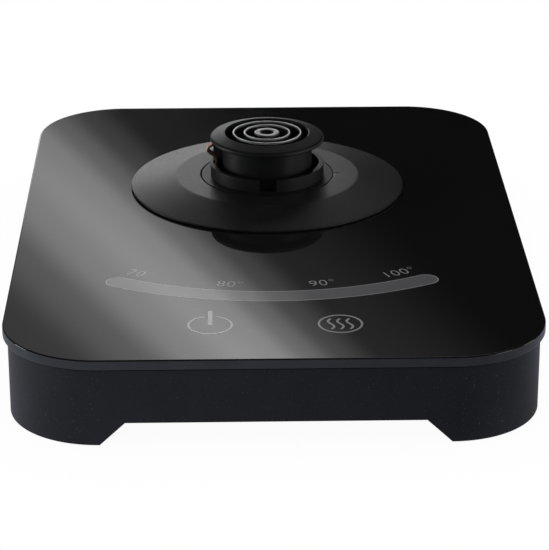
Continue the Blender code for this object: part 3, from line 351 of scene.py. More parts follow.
CHASSIS_PLASTIC = SparkedFinish("chassis_plastic", (0.018, 0.018, 0.019), 0.55)
BASE_PLASTIC = SparkedFinish("base_plastic", (0.018, 0.0185, 0.02), 0.58)
RETAINER_PLASTIC = SparkedFinish("retainer_plastic", (0.09, 0.09, 0.095), 0.55)
FOOT_RUBBER = SparkedFinish("foot_rubber", (0.022, 0.022, 0.023), 0.82, grain_depth=0.02 * MM)
SEAL_RUBBER = Finish("seal_rubber", (0.03, 0.03, 0.032), 0.75)
GLAND_RUBBER = Finish("gland_rubber", (0.016, 0.016, 0.017), 0.6, grain_depth=0.01 * MM)
ZINC = Finish("zinc_screw", (0.62, 0.62, 0.60), 0.3, metallic=1.0, mottle=0.08, grain_size=0.6 * MM)
BRIGHT_STEEL = Finish("bright_steel", (0.74, 0.74, 0.73), 0.38, metallic=1.0, mottle=0.05, mottle_size=3 * MM,
                      grain_size=0.4 * MM, grain_depth=0.0003 * MM)
EYELET_STEEL = Finish("eyelet_steel", (0.42, 0.42, 0.42), 0.42, metallic=1.0, mottle=0.08, mottle_size=2 * MM)
# Painted shade: a dark non-metal finish laid on the steel eyelet's bore in place of the shade deep inside the
# hole.
PAINTED_SHADE_BORE = Finish("painted_shade_bore", (0.02, 0.02, 0.021), 0.6)
COPPER = Finish("copper_spring", (0.93, 0.56, 0.42), 0.38, metallic=1.0, mottle=0.1, mottle_size=1.6 * MM,
                grain_size=0.3 * MM, grain_depth=0.003 * MM, stretch=(1.0, 1.0, 0.15))
LIGHT_GUIDE = Finish("light_guide", (0.62, 0.63, 0.65), 0.42, mottle=0.03,
                     extra=(("Transmission_Weight", 0.2),))
PRINTED_BAND = Finish("printed_band", (0.172, 0.172, 0.180), 0.035, mottle=0.03, mottle_size=30 * MM,
                      uneven=0.006, grain_size=12 * MM, grain_depth=0.0)
PRINTED_LINE = Finish("printed_line", (0.45, 0.45, 0.46), 0.035, mottle=0.06, mottle_size=5 * MM,
                      uneven=0.006, grain_depth=0.0)
RELAY_BLUE = Finish("relay_blue", (0.02, 0.075, 0.27), 0.33, mottle=0.06)
COIL_TAPE = Finish("coil_tape", (0.62, 0.42, 0.05), 0.32, mottle=0.1, grain_size=1.2 * MM,
                   stretch=(1, 1, 0.2))
CAPACITOR_GREY = Finish("capacitor_grey", (0.33, 0.34, 0.36), 0.4, mottle=0.05)
TERMINAL_GREEN = Finish("terminal_green", (0.02, 0.21, 0.07), 0.42, mottle=0.06)
SLEEVE_BLACK = Finish("sleeve_black", (0.015, 0.015, 0.02), 0.28, mottle=0.08)
FUSE_GLASS = Finish("fuse_glass", (0.75, 0.78, 0.78), 0.1, mottle=0.04, extra=(("Transmission_Weight", 0.6),))
LIVE_SLEEVE = Finish("live_insulation", (0.16, 0.055, 0.02), 0.4, mottle=0.06)
NEUTRAL_SLEEVE = Finish("neutral_insulation", (0.02, 0.07, 0.35), 0.4, mottle=0.06)
EARTH_SLEEVE = Finish("earth_insulation", (0.14, 0.34, 0.03), 0.4, mottle=0.3, mottle_size=4 * MM)
SIGNAL_SLEEVE = Finish("signal_insulation", (0.6, 0.6, 0.57), 0.42, mottle=0.05)
RIBBON_GREY = Finish("ribbon_grey", (0.42, 0.43, 0.45), 0.5, grain_size=1.0 * MM, stretch=(1.0, 0.05, 0.05))
CIRCUIT_BOARD = BoardFinish("circuit_board")


# ---- modelling --------------------------------------------------------------
def start_clean() -> None:
    """Leave edit mode and deselect everything."""
    if bpy.context.object is not None and bpy.context.object.mode != "OBJECT":
        bpy.ops.object.mode_set(mode="OBJECT")
    bpy.ops.object.select_all(action="DESELECT")


def take(name: str) -> Object:
    """Name the object that an operator has just made, and return it."""
    obj = bpy.context.object
    obj.name = name
    obj.data.name = name
    return obj


def pick_up(obj: Object) -> None:
    """Make an object the only selected one and the active one."""
    start_clean()
    obj.select_set(True)
    bpy.context.view_layer.objects.active = obj


def settle(obj: Object) -> Object:
    """Apply an object's place, turn and scale to its mesh."""
    pick_up(obj)
    bpy.ops.object.transform_apply(location=True, rotation=True, scale=True)
    return obj


def apply_modifiers(obj: Object) -> Object:
    """Apply an object's modifiers in order."""
    pick_up(obj)
    for modifier in list(obj.modifiers):
        bpy.ops.object.modifier_apply(modifier=modifier.name)
    return obj


def deselect_mesh(obj: Object, kind: str) -> None:
    """Deselect all of an object's mesh, and set whether its faces or its edges are picked."""
    pick_up(obj)
    bpy.ops.object.mode_set(mode="EDIT")
    bpy.ops.mesh.select_mode(type=kind)
    bpy.ops.mesh.select_all(action="DESELECT")
    bpy.ops.object.mode_set(mode="OBJECT")


def edit(obj: Object, pick: Callable[[bpy.types.MeshPolygon], bool]) -> None:
    """Enter edit mode with the faces selected that pass a test."""
    deselect_mesh(obj, "FACE")
    for face in obj.data.polygons:
        face.select = pick(face)
    bpy.ops.object.mode_set(mode="EDIT")


def edit_edges(obj: Object, pick: Callable[[Vector, Vector], bool]) -> None:
    """Enter edit mode with the edges selected whose two ends pass a test."""
    deselect_mesh(obj, "EDGE")
    points = obj.data.vertices
    for edge in obj.data.edges:
        first, second = edge.vertices
        edge.select = pick(points[first].co, points[second].co)
    bpy.ops.object.mode_set(mode="EDIT")


def close_up(distance: float = WELD) -> None:
    """Weld the mesh that is being edited, turn its faces outwards and leave edit mode."""
    bpy.ops.mesh.select_all(action="SELECT")
    bpy.ops.mesh.remove_doubles(threshold=distance)
    bpy.ops.mesh.normals_make_consistent(inside=False)
    bpy.ops.object.mode_set(mode="OBJECT")


def raise_up(thick: float) -> None:
    """Extrude the whole flat mesh that is being edited upwards, and close it up."""
    bpy.ops.mesh.select_all(action="SELECT")
    bpy.ops.mesh.extrude_region_move(TRANSFORM_OT_translate={"value": (0, 0, thick)})
    close_up()


def block(name: str, low: Sequence[float], high: Sequence[float]) -> Object:
    """Make a box between two corners, ready to be shaped."""
    start_clean()
    low, high = Vector(low), Vector(high)
    bpy.ops.mesh.primitive_cube_add(size=1.0, location=(low + high) / 2)
    obj = take(name)
    obj.scale = high - low
    return settle(obj)


def rod(name: str, radius: float, length: float, centre: Sequence[float], sides: int,
        turn: Sequence[float] = (0.0, 0.0, 0.0)) -> Object:
    """Make a cylinder, ready to be used as a tool."""
    start_clean()
    bpy.ops.mesh.primitive_cylinder_add(vertices=sides, radius=radius, depth=length, location=centre,
                                        rotation=turn)
    return settle(take(name))


def standing(node: str) -> Vector:
    """Return the middle of a CAD node's box, at the height of the floor."""
    low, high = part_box(node)
    return Vector(((low.x + high.x) / 2, (low.y + high.y) / 2, 0.0))


def drawn_wire(name: str, points: Sequence[Vector], closed: bool = False) -> Object:
    """Draw a wire of vertices by extruding one of them from point to point.

    Args:
        name: name of the object, which is left in edit mode.
        points: the wire's points.
        closed: whether the last point joins the first.

    Returns:
        The object, in edit mode.
    """
    start_clean()
    bpy.ops.mesh.primitive_plane_add(size=MM, location=points[0])
    obj = settle(take(name))
    bpy.ops.object.mode_set(mode="EDIT")
    bpy.ops.mesh.select_mode(type="VERT")
    bpy.ops.mesh.select_all(action="SELECT")
    bpy.ops.mesh.merge(type="CENTER")
    route = list(points) + ([points[0]] if closed else [])
    for before, after in zip(route, route[1:]):
        bpy.ops.mesh.extrude_vertices_move(TRANSFORM_OT_translate={"value": Vector(after) - Vector(before)})
    bpy.ops.mesh.select_all(action="SELECT")
    bpy.ops.mesh.remove_doubles(threshold=WELD)
    return obj


def held(profile: Sequence[Point], hold: float) -> list[Point]:
    """Add a point close to both ends of each long side of a closed profile, to keep shading tight."""
    points: list[Point] = []
    for start, end in zip(profile, [*profile[1:], profile[0]]):
        first, last = Vector(start), Vector(end)
        points.append(tuple(first))
        if (last - first).length > 3 * hold:
            along = (last - first).normalized() * hold
            points += [tuple(first + along), tuple(last - along)]
    return points


def turned(name: str, profile: Sequence[Point], centre: Vector, axis: Axis = Axis.UP,
           steps: int = TURN_STEPS, sweep: float = FULL_TURN, hold: float = 0.25 * MM) -> Object:
    """Spin a closed (radius, height) profile about an axis.

    Args:
        name: name of the new object.
        profile: corners of the section.
        centre: point on the axis at height 0.
        axis: direction of the axis.
        steps: sides of a full turn.
        sweep: angle of the spin.
        hold: distance of the holding points from each corner.

    Returns:
        The turned piece.
    """
    along = Vector(axis.value)
    points = [centre + Vector((radius, 0, 0)) + along * height for radius, height in held(profile, hold)]
    obj = drawn_wire(name, points, closed=True)
    if not math.isclose(sweep, FULL_TURN):
        bpy.ops.mesh.edge_face_add()
        bpy.ops.mesh.select_all(action="SELECT")
    count = max(2, round(steps * sweep / FULL_TURN))
    bpy.ops.mesh.spin(steps=count, angle=sweep, center=centre, axis=along)
    close_up()
    return obj


def rounded_slab(name: str, width: float, depth: float, corner: float, low: float, high: float,
                 steps: int = 24) -> Object:
    """Make a flat slab with round corners.

    Args:
        name: name of the new object.
        width: size along X.
        depth: size along Y.
        corner: radius of the corners seen from above.
        low: height of the underside.
        high: height of the top.
        steps: segments of each corner.

    Returns:
        The slab.
    """
    obj = block(name, (-width / 2, -depth / 2, low), (width / 2, depth / 2, high))
    edit_edges(obj, lambda a, b: abs(a.z - b.z) > (high - low) / 2)
    bpy.ops.mesh.bevel(offset=corner, segments=steps, affect="EDGES", clamp_overlap=False)
    bpy.ops.object.mode_set(mode="OBJECT")
    return obj


def cut(obj: Object, tool: Object, how: Cut = Cut.REMOVE) -> Object:
    """Cut a tool's shape out of a piece or join it on, and throw the tool away."""
    modifier = obj.modifiers.new("cut", "BOOLEAN")
    modifier.operation = how.value
    modifier.solver = "EXACT"
    modifier.object = tool
    apply_modifiers(obj)
    bpy.data.objects.remove(tool, do_unlink=True)
    return obj


def soften(obj: Object, width: float, segments: int = 3, angle: float = 35.0) -> Object:
    """Round every edge that is sharper than an angle, in degrees."""
    modifier = obj.modifiers.new("soften", "BEVEL")
    modifier.width = width
    modifier.segments = segments
    modifier.limit_method = "ANGLE"
    modifier.angle_limit = math.radians(angle)
    modifier.use_clamp_overlap = True
    return apply_modifiers(obj)


def smooth(obj: Object, angle: float = 32.0) -> Object:
    """Shade smooth across edges flatter than an angle, in degrees, and keep the large faces flat."""
    pick_up(obj)
    bpy.ops.object.shade_smooth_by_angle(angle=math.radians(angle))
    modifier = obj.modifiers.new("flat_faces", "WEIGHTED_NORMAL")
    modifier.keep_sharp = True
    return apply_modifiers(obj)


def arc(centre: Vector, radius: float, start: float, end: float, steps: int) -> list[Vector]:
    """Return points on a level arc between two angles in degrees."""
    points = []
    for i in range(steps + 1):
        angle = math.radians(start + (end - start) * i / steps)
        points.append(centre + Vector((radius * math.cos(angle), radius * math.sin(angle), 0)))
    return points


def ribbon(name: str, points: Sequence[Vector], width: float, thick: float, closed: bool = False) -> Object:
    """Make a flat line of even width along level points.

    Args:
        name: name of the new object.
        points: middle line of the ribbon, at its underside.
        width: width of the line.
        thick: height of the line.
        closed: whether the line is a loop.

    Returns:
        The ribbon.
    """
    obj = drawn_wire(name, points, closed)
    raise_up(thick)
    wall = obj.modifiers.new("width", "SOLIDIFY")
    wall.thickness = width
    wall.offset = 0.0
    wall.use_even_offset = True
    return apply_modifiers(obj)


def sheet(name: str, points: Sequence[Vector], thick: float) -> Object:
    """Make a thin flat sheet from its outline.

    Args:
        name: name of the new object.
        points: corners of the underside, in order.
        thick: height of the sheet.

    Returns:
        The sheet.
    """
    obj = drawn_wire(name, points, closed=True)
    bpy.ops.mesh.edge_face_add()
    raise_up(thick)
    return obj


def join(name: str, pieces: Sequence[Object]) -> Object:
    """Join several objects into the first one."""
    start_clean()
    for piece in pieces:
        piece.select_set(True)
    bpy.context.view_layer.objects.active = pieces[0]
    bpy.ops.object.join()
    return take(name)


def copied(piece: Object, name: str, move: Vector) -> Object:
    """Copy a piece with its own mesh and move the copy.

    Args:
        piece: the piece to copy.
        name: name of the copy.
        move: way from the piece to its copy.

    Returns:
        The copy.
    """
    pick_up(piece)
    bpy.ops.object.duplicate(linked=False)
    copy = take(name)
    copy.location = move
    return settle(copy)


def paint(obj: Object, finish: Finish | BoardFinish) -> None:
    """Put a finish on an object's first material slot, or on a new one."""
    if finish.name not in MADE:
        MADE[finish.name] = finish.make()
    if obj.material_slots:
        obj.material_slots[0].material = MADE[finish.name]
    else:
        obj.data.materials.append(MADE[finish.name])


def seat(obj: Object, finish: Finish, replaced: Iterable[str] = (),
         body: Body = Body.BASE) -> Object:
    """Dress a new piece, fix it to a body and report it.

    Args:
        obj: the finished piece.
        finish: what its surface is made of.
        replaced: CAD nodes that it stands for.
        body: the body that it moves with.

    Returns:
        The piece.
    """
    paint(obj, finish)
    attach(obj, body.value)
    if replaced:
        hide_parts(*replaced)
    log.info("%s: %d faces, %s", obj.name, len(obj.data.polygons), finish.name)
    return obj


def dress_node(node: str, finish: Finish | BoardFinish) -> None:
    """Give a CAD node that stays a better finish."""
    paint(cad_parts[node], finish)
    log.info("%s: CAD node, %s", node, finish.name)


# ---- places read from the frame ----------------------------------------------
GLASS_LOW, GLASS_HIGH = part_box("glass_top")
CAP_LOW, CAP_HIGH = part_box("connector_cap")
HUB_LOW, HUB_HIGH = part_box("connector_hub")
HOUSING_LOW, HOUSING_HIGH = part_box("lower_housing")
GLASS_TOP = GLASS_HIGH.z
CONNECTOR_AXIS = Vector(((CAP_LOW.x + CAP_HIGH.x) / 2, (CAP_LOW.y + CAP_HIGH.y) / 2, GLASS_TOP))
HOUSING_DEPTH = HOUSING_HIGH.y - HOUSING_LOW.y
HOUSING_WIDTH = HOUSING_HIGH.x - HOUSING_LOW.x


def above_glass(profile: Sequence[Point]) -> list[Point]:
    """Turn (radius, height above the glass) in millimetres into metres."""
    return [(radius * MM, height * MM) for radius, height in profile]


# ---- glass plate ----------------------------------------------------------------
@dataclass
class GlassPlate:
    """Tempered glass plate with a polished face and a satin ground edge."""

    corner: float = 29.0 * MM
    arris: float = 0.45 * MM
    hole_radius: float = 31.5 * MM
    hole_steps: int = 96
    edge_share: float = 0.75

    def build(self) -> Object:
        """Model the plate, its hole and its ground edge.

        Returns:
            The plate.
        """
        size = GLASS_HIGH - GLASS_LOW
        plate = rounded_slab("black_glass_plate", size.x, size.y, self.corner, GLASS_LOW.z, GLASS_HIGH.z, 32)
        cut(plate, rod("glass_hole", self.hole_radius, 3 * size.z, CONNECTOR_AXIS, self.hole_steps))
        soften(plate, self.arris, segments=5, angle=50)
        return smooth(plate, 40)

    def dress(self, plate: Object) -> None:
        """Give the upright faces the satin finish and the rest the black gloss."""
        seat(plate, BLACK_GLASS, ["glass_top"])
        plate.data.materials.append(GROUND_GLASS.make())
        for face in plate.data.polygons:
            if abs(face.normal.z) < 1 - self.edge_share:
                face.material_index = 1


# ---- printed marks --------------------------------------------------------------
@dataclass
class TouchMarks:
    """Marks printed on the glass: slider, temperatures and the two touch icons."""

    lift: float = 0.006 * MM
    thick: float = 0.014 * MM
    slider_radius: float = 97.1 * MM
    slider_width: float = 7.7 * MM
    slider_half_angle: float = 29.0
    slider_line: float = 0.32 * MM
    digit_radius: float = 88.4 * MM
    digit_height: float = 4.5 * MM
    digit_squeeze: float = 0.94
    digit_thin: float = -0.085 * MM
    font_cap_share: float = 0.73
    temperatures: tuple[tuple[str, float], ...] = (("70°", 242.6), ("80°", 261.6), ("90°", 279.9),
                                                   ("100°", 296.3))
    icon_y: float = -87.8 * MM
    power_x: float = -18.9 * MM
    warm_x: float = 19.3 * MM
    ring_radius: float = 6.35 * MM
    ring_line: float = 0.62 * MM
    ring_gap_angle: float = 15.0
    bar_width: float = 1.3 * MM
    bar_length: float = 10.6 * MM
    wave_pitch: float = 2.75 * MM
    wave_height: float = 7.6 * MM
    wave_reach: float = 0.85 * MM
    wave_line: float = 0.7 * MM
    wave_steps: int = 20

    def level(self, x: float, y: float) -> Vector:
        """Return a point just above the glass."""
        return Vector((x, y, GLASS_TOP + self.lift))

    @property
    def centre(self) -> Vector:
        """Centre of the slider's arc, just above the glass."""
        return self.level(CONNECTOR_AXIS.x, CONNECTOR_AXIS.y)

    def slider_loop(self, half: float) -> list[Vector]:
        """Return the outline of the slider at a distance from its middle line.

        Args:
            half: the distance, which is also the radius of the round ends.

        Returns:
            The outline's points, in order.
        """
        first, last = 270 - self.slider_half_angle, 270 + self.slider_half_angle
        points = arc(self.centre, self.slider_radius + half, first, last, 60)
        tip = arc(self.centre, self.slider_radius, last, last, 1)[0]
        points += arc(tip, half, last, last + 180, 12)[1:-1]
        points += arc(self.centre, self.slider_radius - half, last, first, 60)
        tip = arc(self.centre, self.slider_radius, first, first, 1)[0]
        points += arc(tip, half, first + 180, first + 360, 12)[1:-1]
        return points

    def build_slider(self) -> Object:
        """Model the curved slider band with its round ends."""
        return sheet("slider_band", self.slider_loop(self.slider_width / 2), self.thick)

    def build_slider_outline(self) -> Object:
        """Model the fine bright line round the slider band."""
        top = Vector((0, 0, self.thick))
        points = [point + top for point in self.slider_loop((self.slider_width - self.slider_line) / 2)]
        return ribbon("slider_outline", points, self.slider_line, self.thick / 2, closed=True)

    def build_temperature(self, text: str, angle: float) -> Object:
        """Set one temperature on its radius, with its foot towards the slider.

        Args:
            text: the figure with its degree sign.
            angle: where it stands round the arc, in degrees.

        Returns:
            The figure as a thin mesh.
        """
        start_clean()
        bpy.ops.object.text_add()
        figure = take("temperature_" + text.rstrip("°"))
        figure.data.body = text
        figure.data.size = self.digit_height / self.font_cap_share
        figure.data.offset = self.digit_thin
        figure.data.align_x = "CENTER"
        figure.data.align_y = "CENTER"
        figure.data.space_character = 1.06
        figure.data.resolution_u = 6
        bpy.ops.object.convert(target="MESH")
        figure.scale.x = self.digit_squeeze
        figure.location = arc(self.centre, self.digit_radius, angle, angle, 1)[0]
        figure.rotation_euler.z = math.radians(angle - 270)
        settle(figure)
        bpy.ops.object.mode_set(mode="EDIT")
        bpy.ops.mesh.select_all(action="SELECT")
        bpy.ops.mesh.remove_doubles(threshold=WELD)
        raise_up(self.thick)
        return figure

    def build_power_icon(self) -> Object:
        """Model the open ring and the bar of the power icon."""
        middle = self.level(self.power_x, self.icon_y)
        gap = self.ring_gap_angle
        ring = ribbon("power_icon", arc(middle, self.ring_radius, 90 + gap, 450 - gap, 64), self.ring_line,
                      self.thick)
        bar_line = [middle, middle + Vector((0, self.bar_length, 0))]
        bar = ribbon("power_bar", bar_line, self.bar_width, self.thick)
        return join("power_icon", [ring, bar])

    def wave(self, x: float) -> list[Vector]:
        """Return the points of one rising wave of steam."""
        points = []
        for i in range(self.wave_steps + 1):
            share = i / self.wave_steps
            side = self.wave_reach * math.sin(FULL_TURN * share)
            points.append(self.level(x + side, self.icon_y + self.wave_height * (share - 0.5)))
        return points

    def build_warm_icon(self) -> Object:
        """Model the ring and the three waves of the keep-warm icon."""
        middle = self.level(self.warm_x, self.icon_y)
        ring_points = arc(middle, self.ring_radius, 0, 355, 71)
        pieces = [ribbon("warm_icon", ring_points, self.ring_line, self.thick, closed=True)]
        for step in (-1, 0, 1):
            line = self.wave(self.warm_x + step * self.wave_pitch)
            pieces.append(ribbon("steam_wave", line, self.wave_line, self.thick))
        return join("warm_icon", pieces)

    def build(self) -> None:
        """Model, dress and fix all the marks."""
        seat(smooth(self.build_slider()), PRINTED_BAND)
        figures = [self.build_temperature(text, angle) for text, angle in self.temperatures]
        for mark in (self.build_slider_outline(), *figures, self.build_power_icon(), self.build_warm_icon()):
            seat(smooth(mark), PRINTED_LINE)


# ---- housing --------------------------------------------------------------------
@dataclass
class Housing:
    """Lower housing, base plate, rubber feet, screws and cord gland."""

    corner: float = 27.6 * MM
    wall: float = 2.4 * MM
    lip: float = 1.2 * MM
    lip_depth: float = 2.0 * MM
    ledge_low: float = 10.0 * MM
    ledge_thick: float = 1.2 * MM
    ledge_width: float = 3.0 * MM
    notch_height: float = 7.55 * MM
    notch_slant: float = 7.4 * MM
    notch_clear: float = 0.1 * MM
    below: float = 2.0 * MM
    edge_round: float = 0.25 * MM
    gap: float = 0.3 * MM
    plate_thick: float = 2.0 * MM
    well_lid: float = 1.0 * MM
    well_radius: float = 9.0 * MM
    recess_radius: float = 7.3 * MM
    recess_top: float = 2.2 * MM
    gland_hole: float = 5.0 * MM
    gland_bore: float = 3.3 * MM
    gland_neck: float = 4.7 * MM
    gland_inner: float = 5.3 * MM
    gland_flange: float = 6.2 * MM
    gland_chamfer: float = 0.4 * MM
    hole_length: float = 12.0 * MM
    screw_hole: float = 1.5 * MM
    pad_edge: float = 0.4 * MM
    pad_groove: tuple[float, ...] = (1.8 * MM, 2.0 * MM, 2.6 * MM, 2.8 * MM)
    groove_depth: float = 0.35 * MM
    screw_radius: float = 2.6 * MM
    screw_dome: float = 0.7 * MM
    shank: float = 1.2 * MM
    shank_tip: float = 0.7 * MM
    shank_point: float = 0.8 * MM
    screw_head: float = 1.6 * MM
    cross_length: float = 3.0 * MM
    cross_width: float = 0.6 * MM
    cross_depth: float = 0.9 * MM

    def pull_in(self, shell: Object, up: bool, steps: Sequence[tuple[float, float]]) -> None:
        """Sink a pocket into one end of the shell by insets and extrusions.

        Args:
            shell: the solid block of the housing.
            up: whether the pocket is sunk from the top.
            steps: pairs of an inset and the height that the face is then moved to.
        """
        edge = HOUSING_HIGH.z if up else HOUSING_LOW.z
        edit(shell, lambda face: abs(face.center.z - edge) < WELD and abs(face.normal.z) > 0.9)
        level = edge
        for inset, target in steps:
            bpy.ops.mesh.inset(thickness=inset, depth=0)
            bpy.ops.mesh.extrude_region_move(TRANSFORM_OT_translate={"value": (0, 0, target - level)})
            level = target
        bpy.ops.mesh.delete(type="FACE")
        bpy.ops.object.mode_set(mode="OBJECT")

    def notch(self, half: float, along_y: bool) -> Object:
        """Make the bar that cuts the gap between two feet out of two walls.

        Args:
            half: half the width of the gap at the foot's lower edge.
            along_y: whether the bar runs front to back.

        Returns:
            The cutter.
        """
        low = -self.below
        slope = self.notch_slant / (self.notch_height - HOUSING_LOW.z)
        top, bottom = half - self.notch_slant, half + slope * (HOUSING_LOW.z - low)
        across, along = (bottom, HOUSING_DEPTH) if along_y else (HOUSING_DEPTH, bottom)
        bar = block("notch", (-across, -along, low), (across, along, self.notch_height))
        edit(bar, lambda face: face.normal.z > 0.9)
        share = top / bottom
        value = (share, 1, 1) if along_y else (1, share, 1)
        bpy.ops.transform.resize(value=value, center_override=(0, 0, 0))
        bpy.ops.object.mode_set(mode="OBJECT")
        return bar

    def build_shell(self) -> Object:
        """Model the housing's wall with its lip, ledge, foot gaps and cord hole."""
        low, high = HOUSING_LOW.z, HOUSING_HIGH.z
        shell = rounded_slab("housing_shell", HOUSING_WIDTH, HOUSING_DEPTH, self.corner, low, high, 30)
        ledge_top = self.ledge_low + self.ledge_thick
        from_top = [(self.lip, high - self.lip_depth), (self.wall - self.lip, ledge_top),
                    (self.ledge_width, self.ledge_low)]
        from_below = [(self.wall, self.ledge_low), (self.ledge_width, self.ledge_low + self.gap / 100)]
        self.pull_in(shell, True, from_top)
        self.pull_in(shell, False, from_below)
        bpy.ops.object.mode_set(mode="EDIT")
        close_up(self.gap / 20)
        cut(shell, self.notch(HOUSING_WIDTH / 2 - self.corner - self.notch_clear, True))
        cut(shell, self.notch(HOUSING_DEPTH / 2 - self.corner - self.notch_clear, False))
        gland_low, gland_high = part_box("cord_gland")
        middle = (gland_low + gland_high) / 2
        cut(shell, rod("cord_hole", self.gland_hole, self.hole_length, middle, 48, (math.pi / 2, 0, 0)))
        soften(shell, self.edge_round, segments=3, angle=30)
        return smooth(shell, 35)

    def build_base_plate(self) -> Object:
        """Model the plate that closes the underside, with a well for each foot."""
        low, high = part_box("base_plate")
        inset = self.wall + self.gap
        top = self.ledge_low - self.gap
        under, lid = top - self.plate_thick, top - self.well_lid
        size = high - low
        plate = rounded_slab("underside_plate", size.x, size.y, self.corner - inset, under, top, 20)
        for name in FOOT_NAMES:
            profile = [(self.recess_radius, low.z), (self.well_radius, low.z), (self.well_radius, lid),
                       (0, lid), (0, self.recess_top), (self.recess_radius, self.recess_top)]
            cut(plate, turned("well", profile, standing(name), steps=64), Cut.JOIN)
        for name in HOUSING_SCREWS:
            centre = standing(name) + Vector((0, 0, top))
            cut(plate, rod("screw_hole", self.screw_hole, self.hole_length, centre, 32))
        soften(plate, self.edge_round, segments=2, angle=40)
        return smooth(plate)

    def build_foot_pad(self, node: str) -> Object:
        """Model a rubber foot at a node, with a shallow ring pressed into its sole."""
        low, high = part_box(node)
        radius = (high.x - low.x) / 2
        outer, near, far, inner = (radius - inset for inset in self.pad_groove)
        profile = [(0, 0.0), (0, high.z), (radius, high.z), (radius, self.pad_edge),
                   (radius - self.pad_edge, 0.0), (outer, 0.0), (near, self.groove_depth),
                   (far, self.groove_depth), (inner, 0.0)]
        pad = turned("rubber_foot_1", profile, standing(node), steps=72)
        soften(pad, 0.12 * MM, segments=2)
        return smooth(pad)

    def build_screw(self, node: str) -> Object:
        """Model a pan head screw with a cross recess at a node, head down."""
        low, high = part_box(node)
        head = low.z + self.screw_head
        centre = standing(node)
        angles = [math.radians(angle) for angle in range(80, -1, -20)]
        dome = [(self.screw_radius * math.cos(angle), low.z + self.screw_dome * (1 - math.sin(angle)))
                for angle in angles]
        profile = [(0, high.z), (self.shank_tip, high.z), (self.shank, high.z - self.shank_point),
                   (self.shank, head), (self.screw_radius, head), *reversed(dome), (0, low.z)]
        screw = turned("case_screw_1", profile[::-1], centre, steps=48)
        for x, y in ((self.cross_length, self.cross_width), (self.cross_width, self.cross_length)):
            reach = Vector((x / 2, y / 2, self.cross_depth))
            spot = Vector((centre.x, centre.y, low.z))
            cut(screw, block("cross", spot - reach, spot + reach))
        return smooth(screw)

    def build_gland(self) -> Object:
        """Model the rubber bush that lines the cord's hole in the rear wall."""
        low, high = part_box("cord_gland")
        centre = Vector(((low.x + high.x) / 2, 0, (low.z + high.z) / 2))
        outside, inside = HOUSING_HIGH.y + self.gap, HOUSING_HIGH.y - self.wall - self.gap
        chamfer = self.gland_chamfer
        profile = [(self.gland_bore, high.y), (self.gland_flange - chamfer, high.y),
                   (self.gland_flange, high.y - chamfer), (self.gland_flange, outside),
                   (self.gland_neck, outside), (self.gland_neck, inside), (self.gland_inner, inside),
                   (self.gland_inner, low.y), (self.gland_bore, low.y)]
        gland = turned("cord_bush", profile, centre, Axis.REAR, steps=64)
        soften(gland, 0.2 * MM, segments=3)
        return smooth(gland)

    def repeat(self, first: Object, nodes: Sequence[str], name: str) -> dict[str, Object]:
        """Copy a piece modelled at the first of several nodes to the others.

        Args:
            first: the piece at the first node.
            nodes: the CAD nodes, in order.
            name: what the pieces are called, before their number.

        Returns:
            The pieces by the node that each stands for.
        """
        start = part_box(nodes[0])[0]
        pieces = {nodes[0]: first}
        for number, node in enumerate(nodes[1:], 2):
            pieces[node] = copied(first, f"{name}_{number}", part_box(node)[0] - start)
        return pieces

    def build(self) -> None:
        """Model, dress and fix the housing's pieces."""
        seat(self.build_shell(), HOUSING_PLASTIC, ["lower_housing"])
        seat(self.build_base_plate(), BASE_PLASTIC, ["base_plate"])
        pads = self.repeat(self.build_foot_pad(FOOT_NAMES[0]), FOOT_NAMES, "rubber_foot")
        for node, pad in pads.items():
            seat(pad, FOOT_RUBBER, [node])
        screws = self.repeat(self.build_screw(HOUSING_SCREWS[0]), HOUSING_SCREWS, "case_screw")
        for node, screw in screws.items():
            seat(screw, ZINC, [node])
        seat(self.build_gland(), GLAND_RUBBER, ["cord_gland"])
        dress_node("upper_chassis", CHASSIS_PLASTIC)


FOOT_NAMES = [f"foot_pad_{end}_{side}" for end in ("front", "rear") for side in ("left", "right")]
HOUSING_SCREWS = [f"housing_screw_{i}" for i in range(1, 5)]


# ---- platform -------------------------------------------------------------------
@dataclass
class Platform:
    """Round platform that the kettle stands on."""

    bore: float = 22.3
    flat_radius: float = 30.6
    radius: float = 45.7
    height: float = 4.0
    rim: float = 0.85
    rim_width: float = 1.76
    under: float = 0.3
    thick: float = 1.6
    neck_radius: float = 24.0
    edge_round: float = 0.3 * MM
    tick_start: float = 0.3
    tick_depth: float = 0.5
    tick_length: float = 2.4 * MM
    tick_width: float = 0.4 * MM

    def build_disc(self) -> Object:
        """Model the coned disc and the short mark beside its bore."""
        neck, inside = (GLASS_LOW.z - GLASS_TOP) / MM, self.height - self.thick
        profile = [(self.bore, self.height), (self.flat_radius, self.height), (self.radius, self.rim),
                   (self.radius, self.under), (self.radius - self.rim_width, self.under),
                   (self.flat_radius, inside), (self.neck_radius, inside), (self.neck_radius, neck),
                   (self.bore, neck)]
        disc = turned("platform_cone", above_glass(profile), CONNECTOR_AXIS, steps=192, hold=0.5 * MM)
        soften(disc, self.edge_round, segments=4, angle=25)
        near, floor = (self.bore - self.tick_start) * MM, (self.height - self.tick_depth) * MM
        start = CONNECTOR_AXIS + Vector((near, -self.tick_width / 2, floor))
        cut(disc, block("tick", start, start + Vector((self.tick_length, self.tick_width, 2 * MM))))
        return smooth(disc, 28)

    def build(self) -> None:
        """Model, dress and fix the platform."""
        seat(self.build_disc(), PLATFORM_PLASTIC, ["platform_disc"])
        dress_node("platform_seal", SEAL_RUBBER)


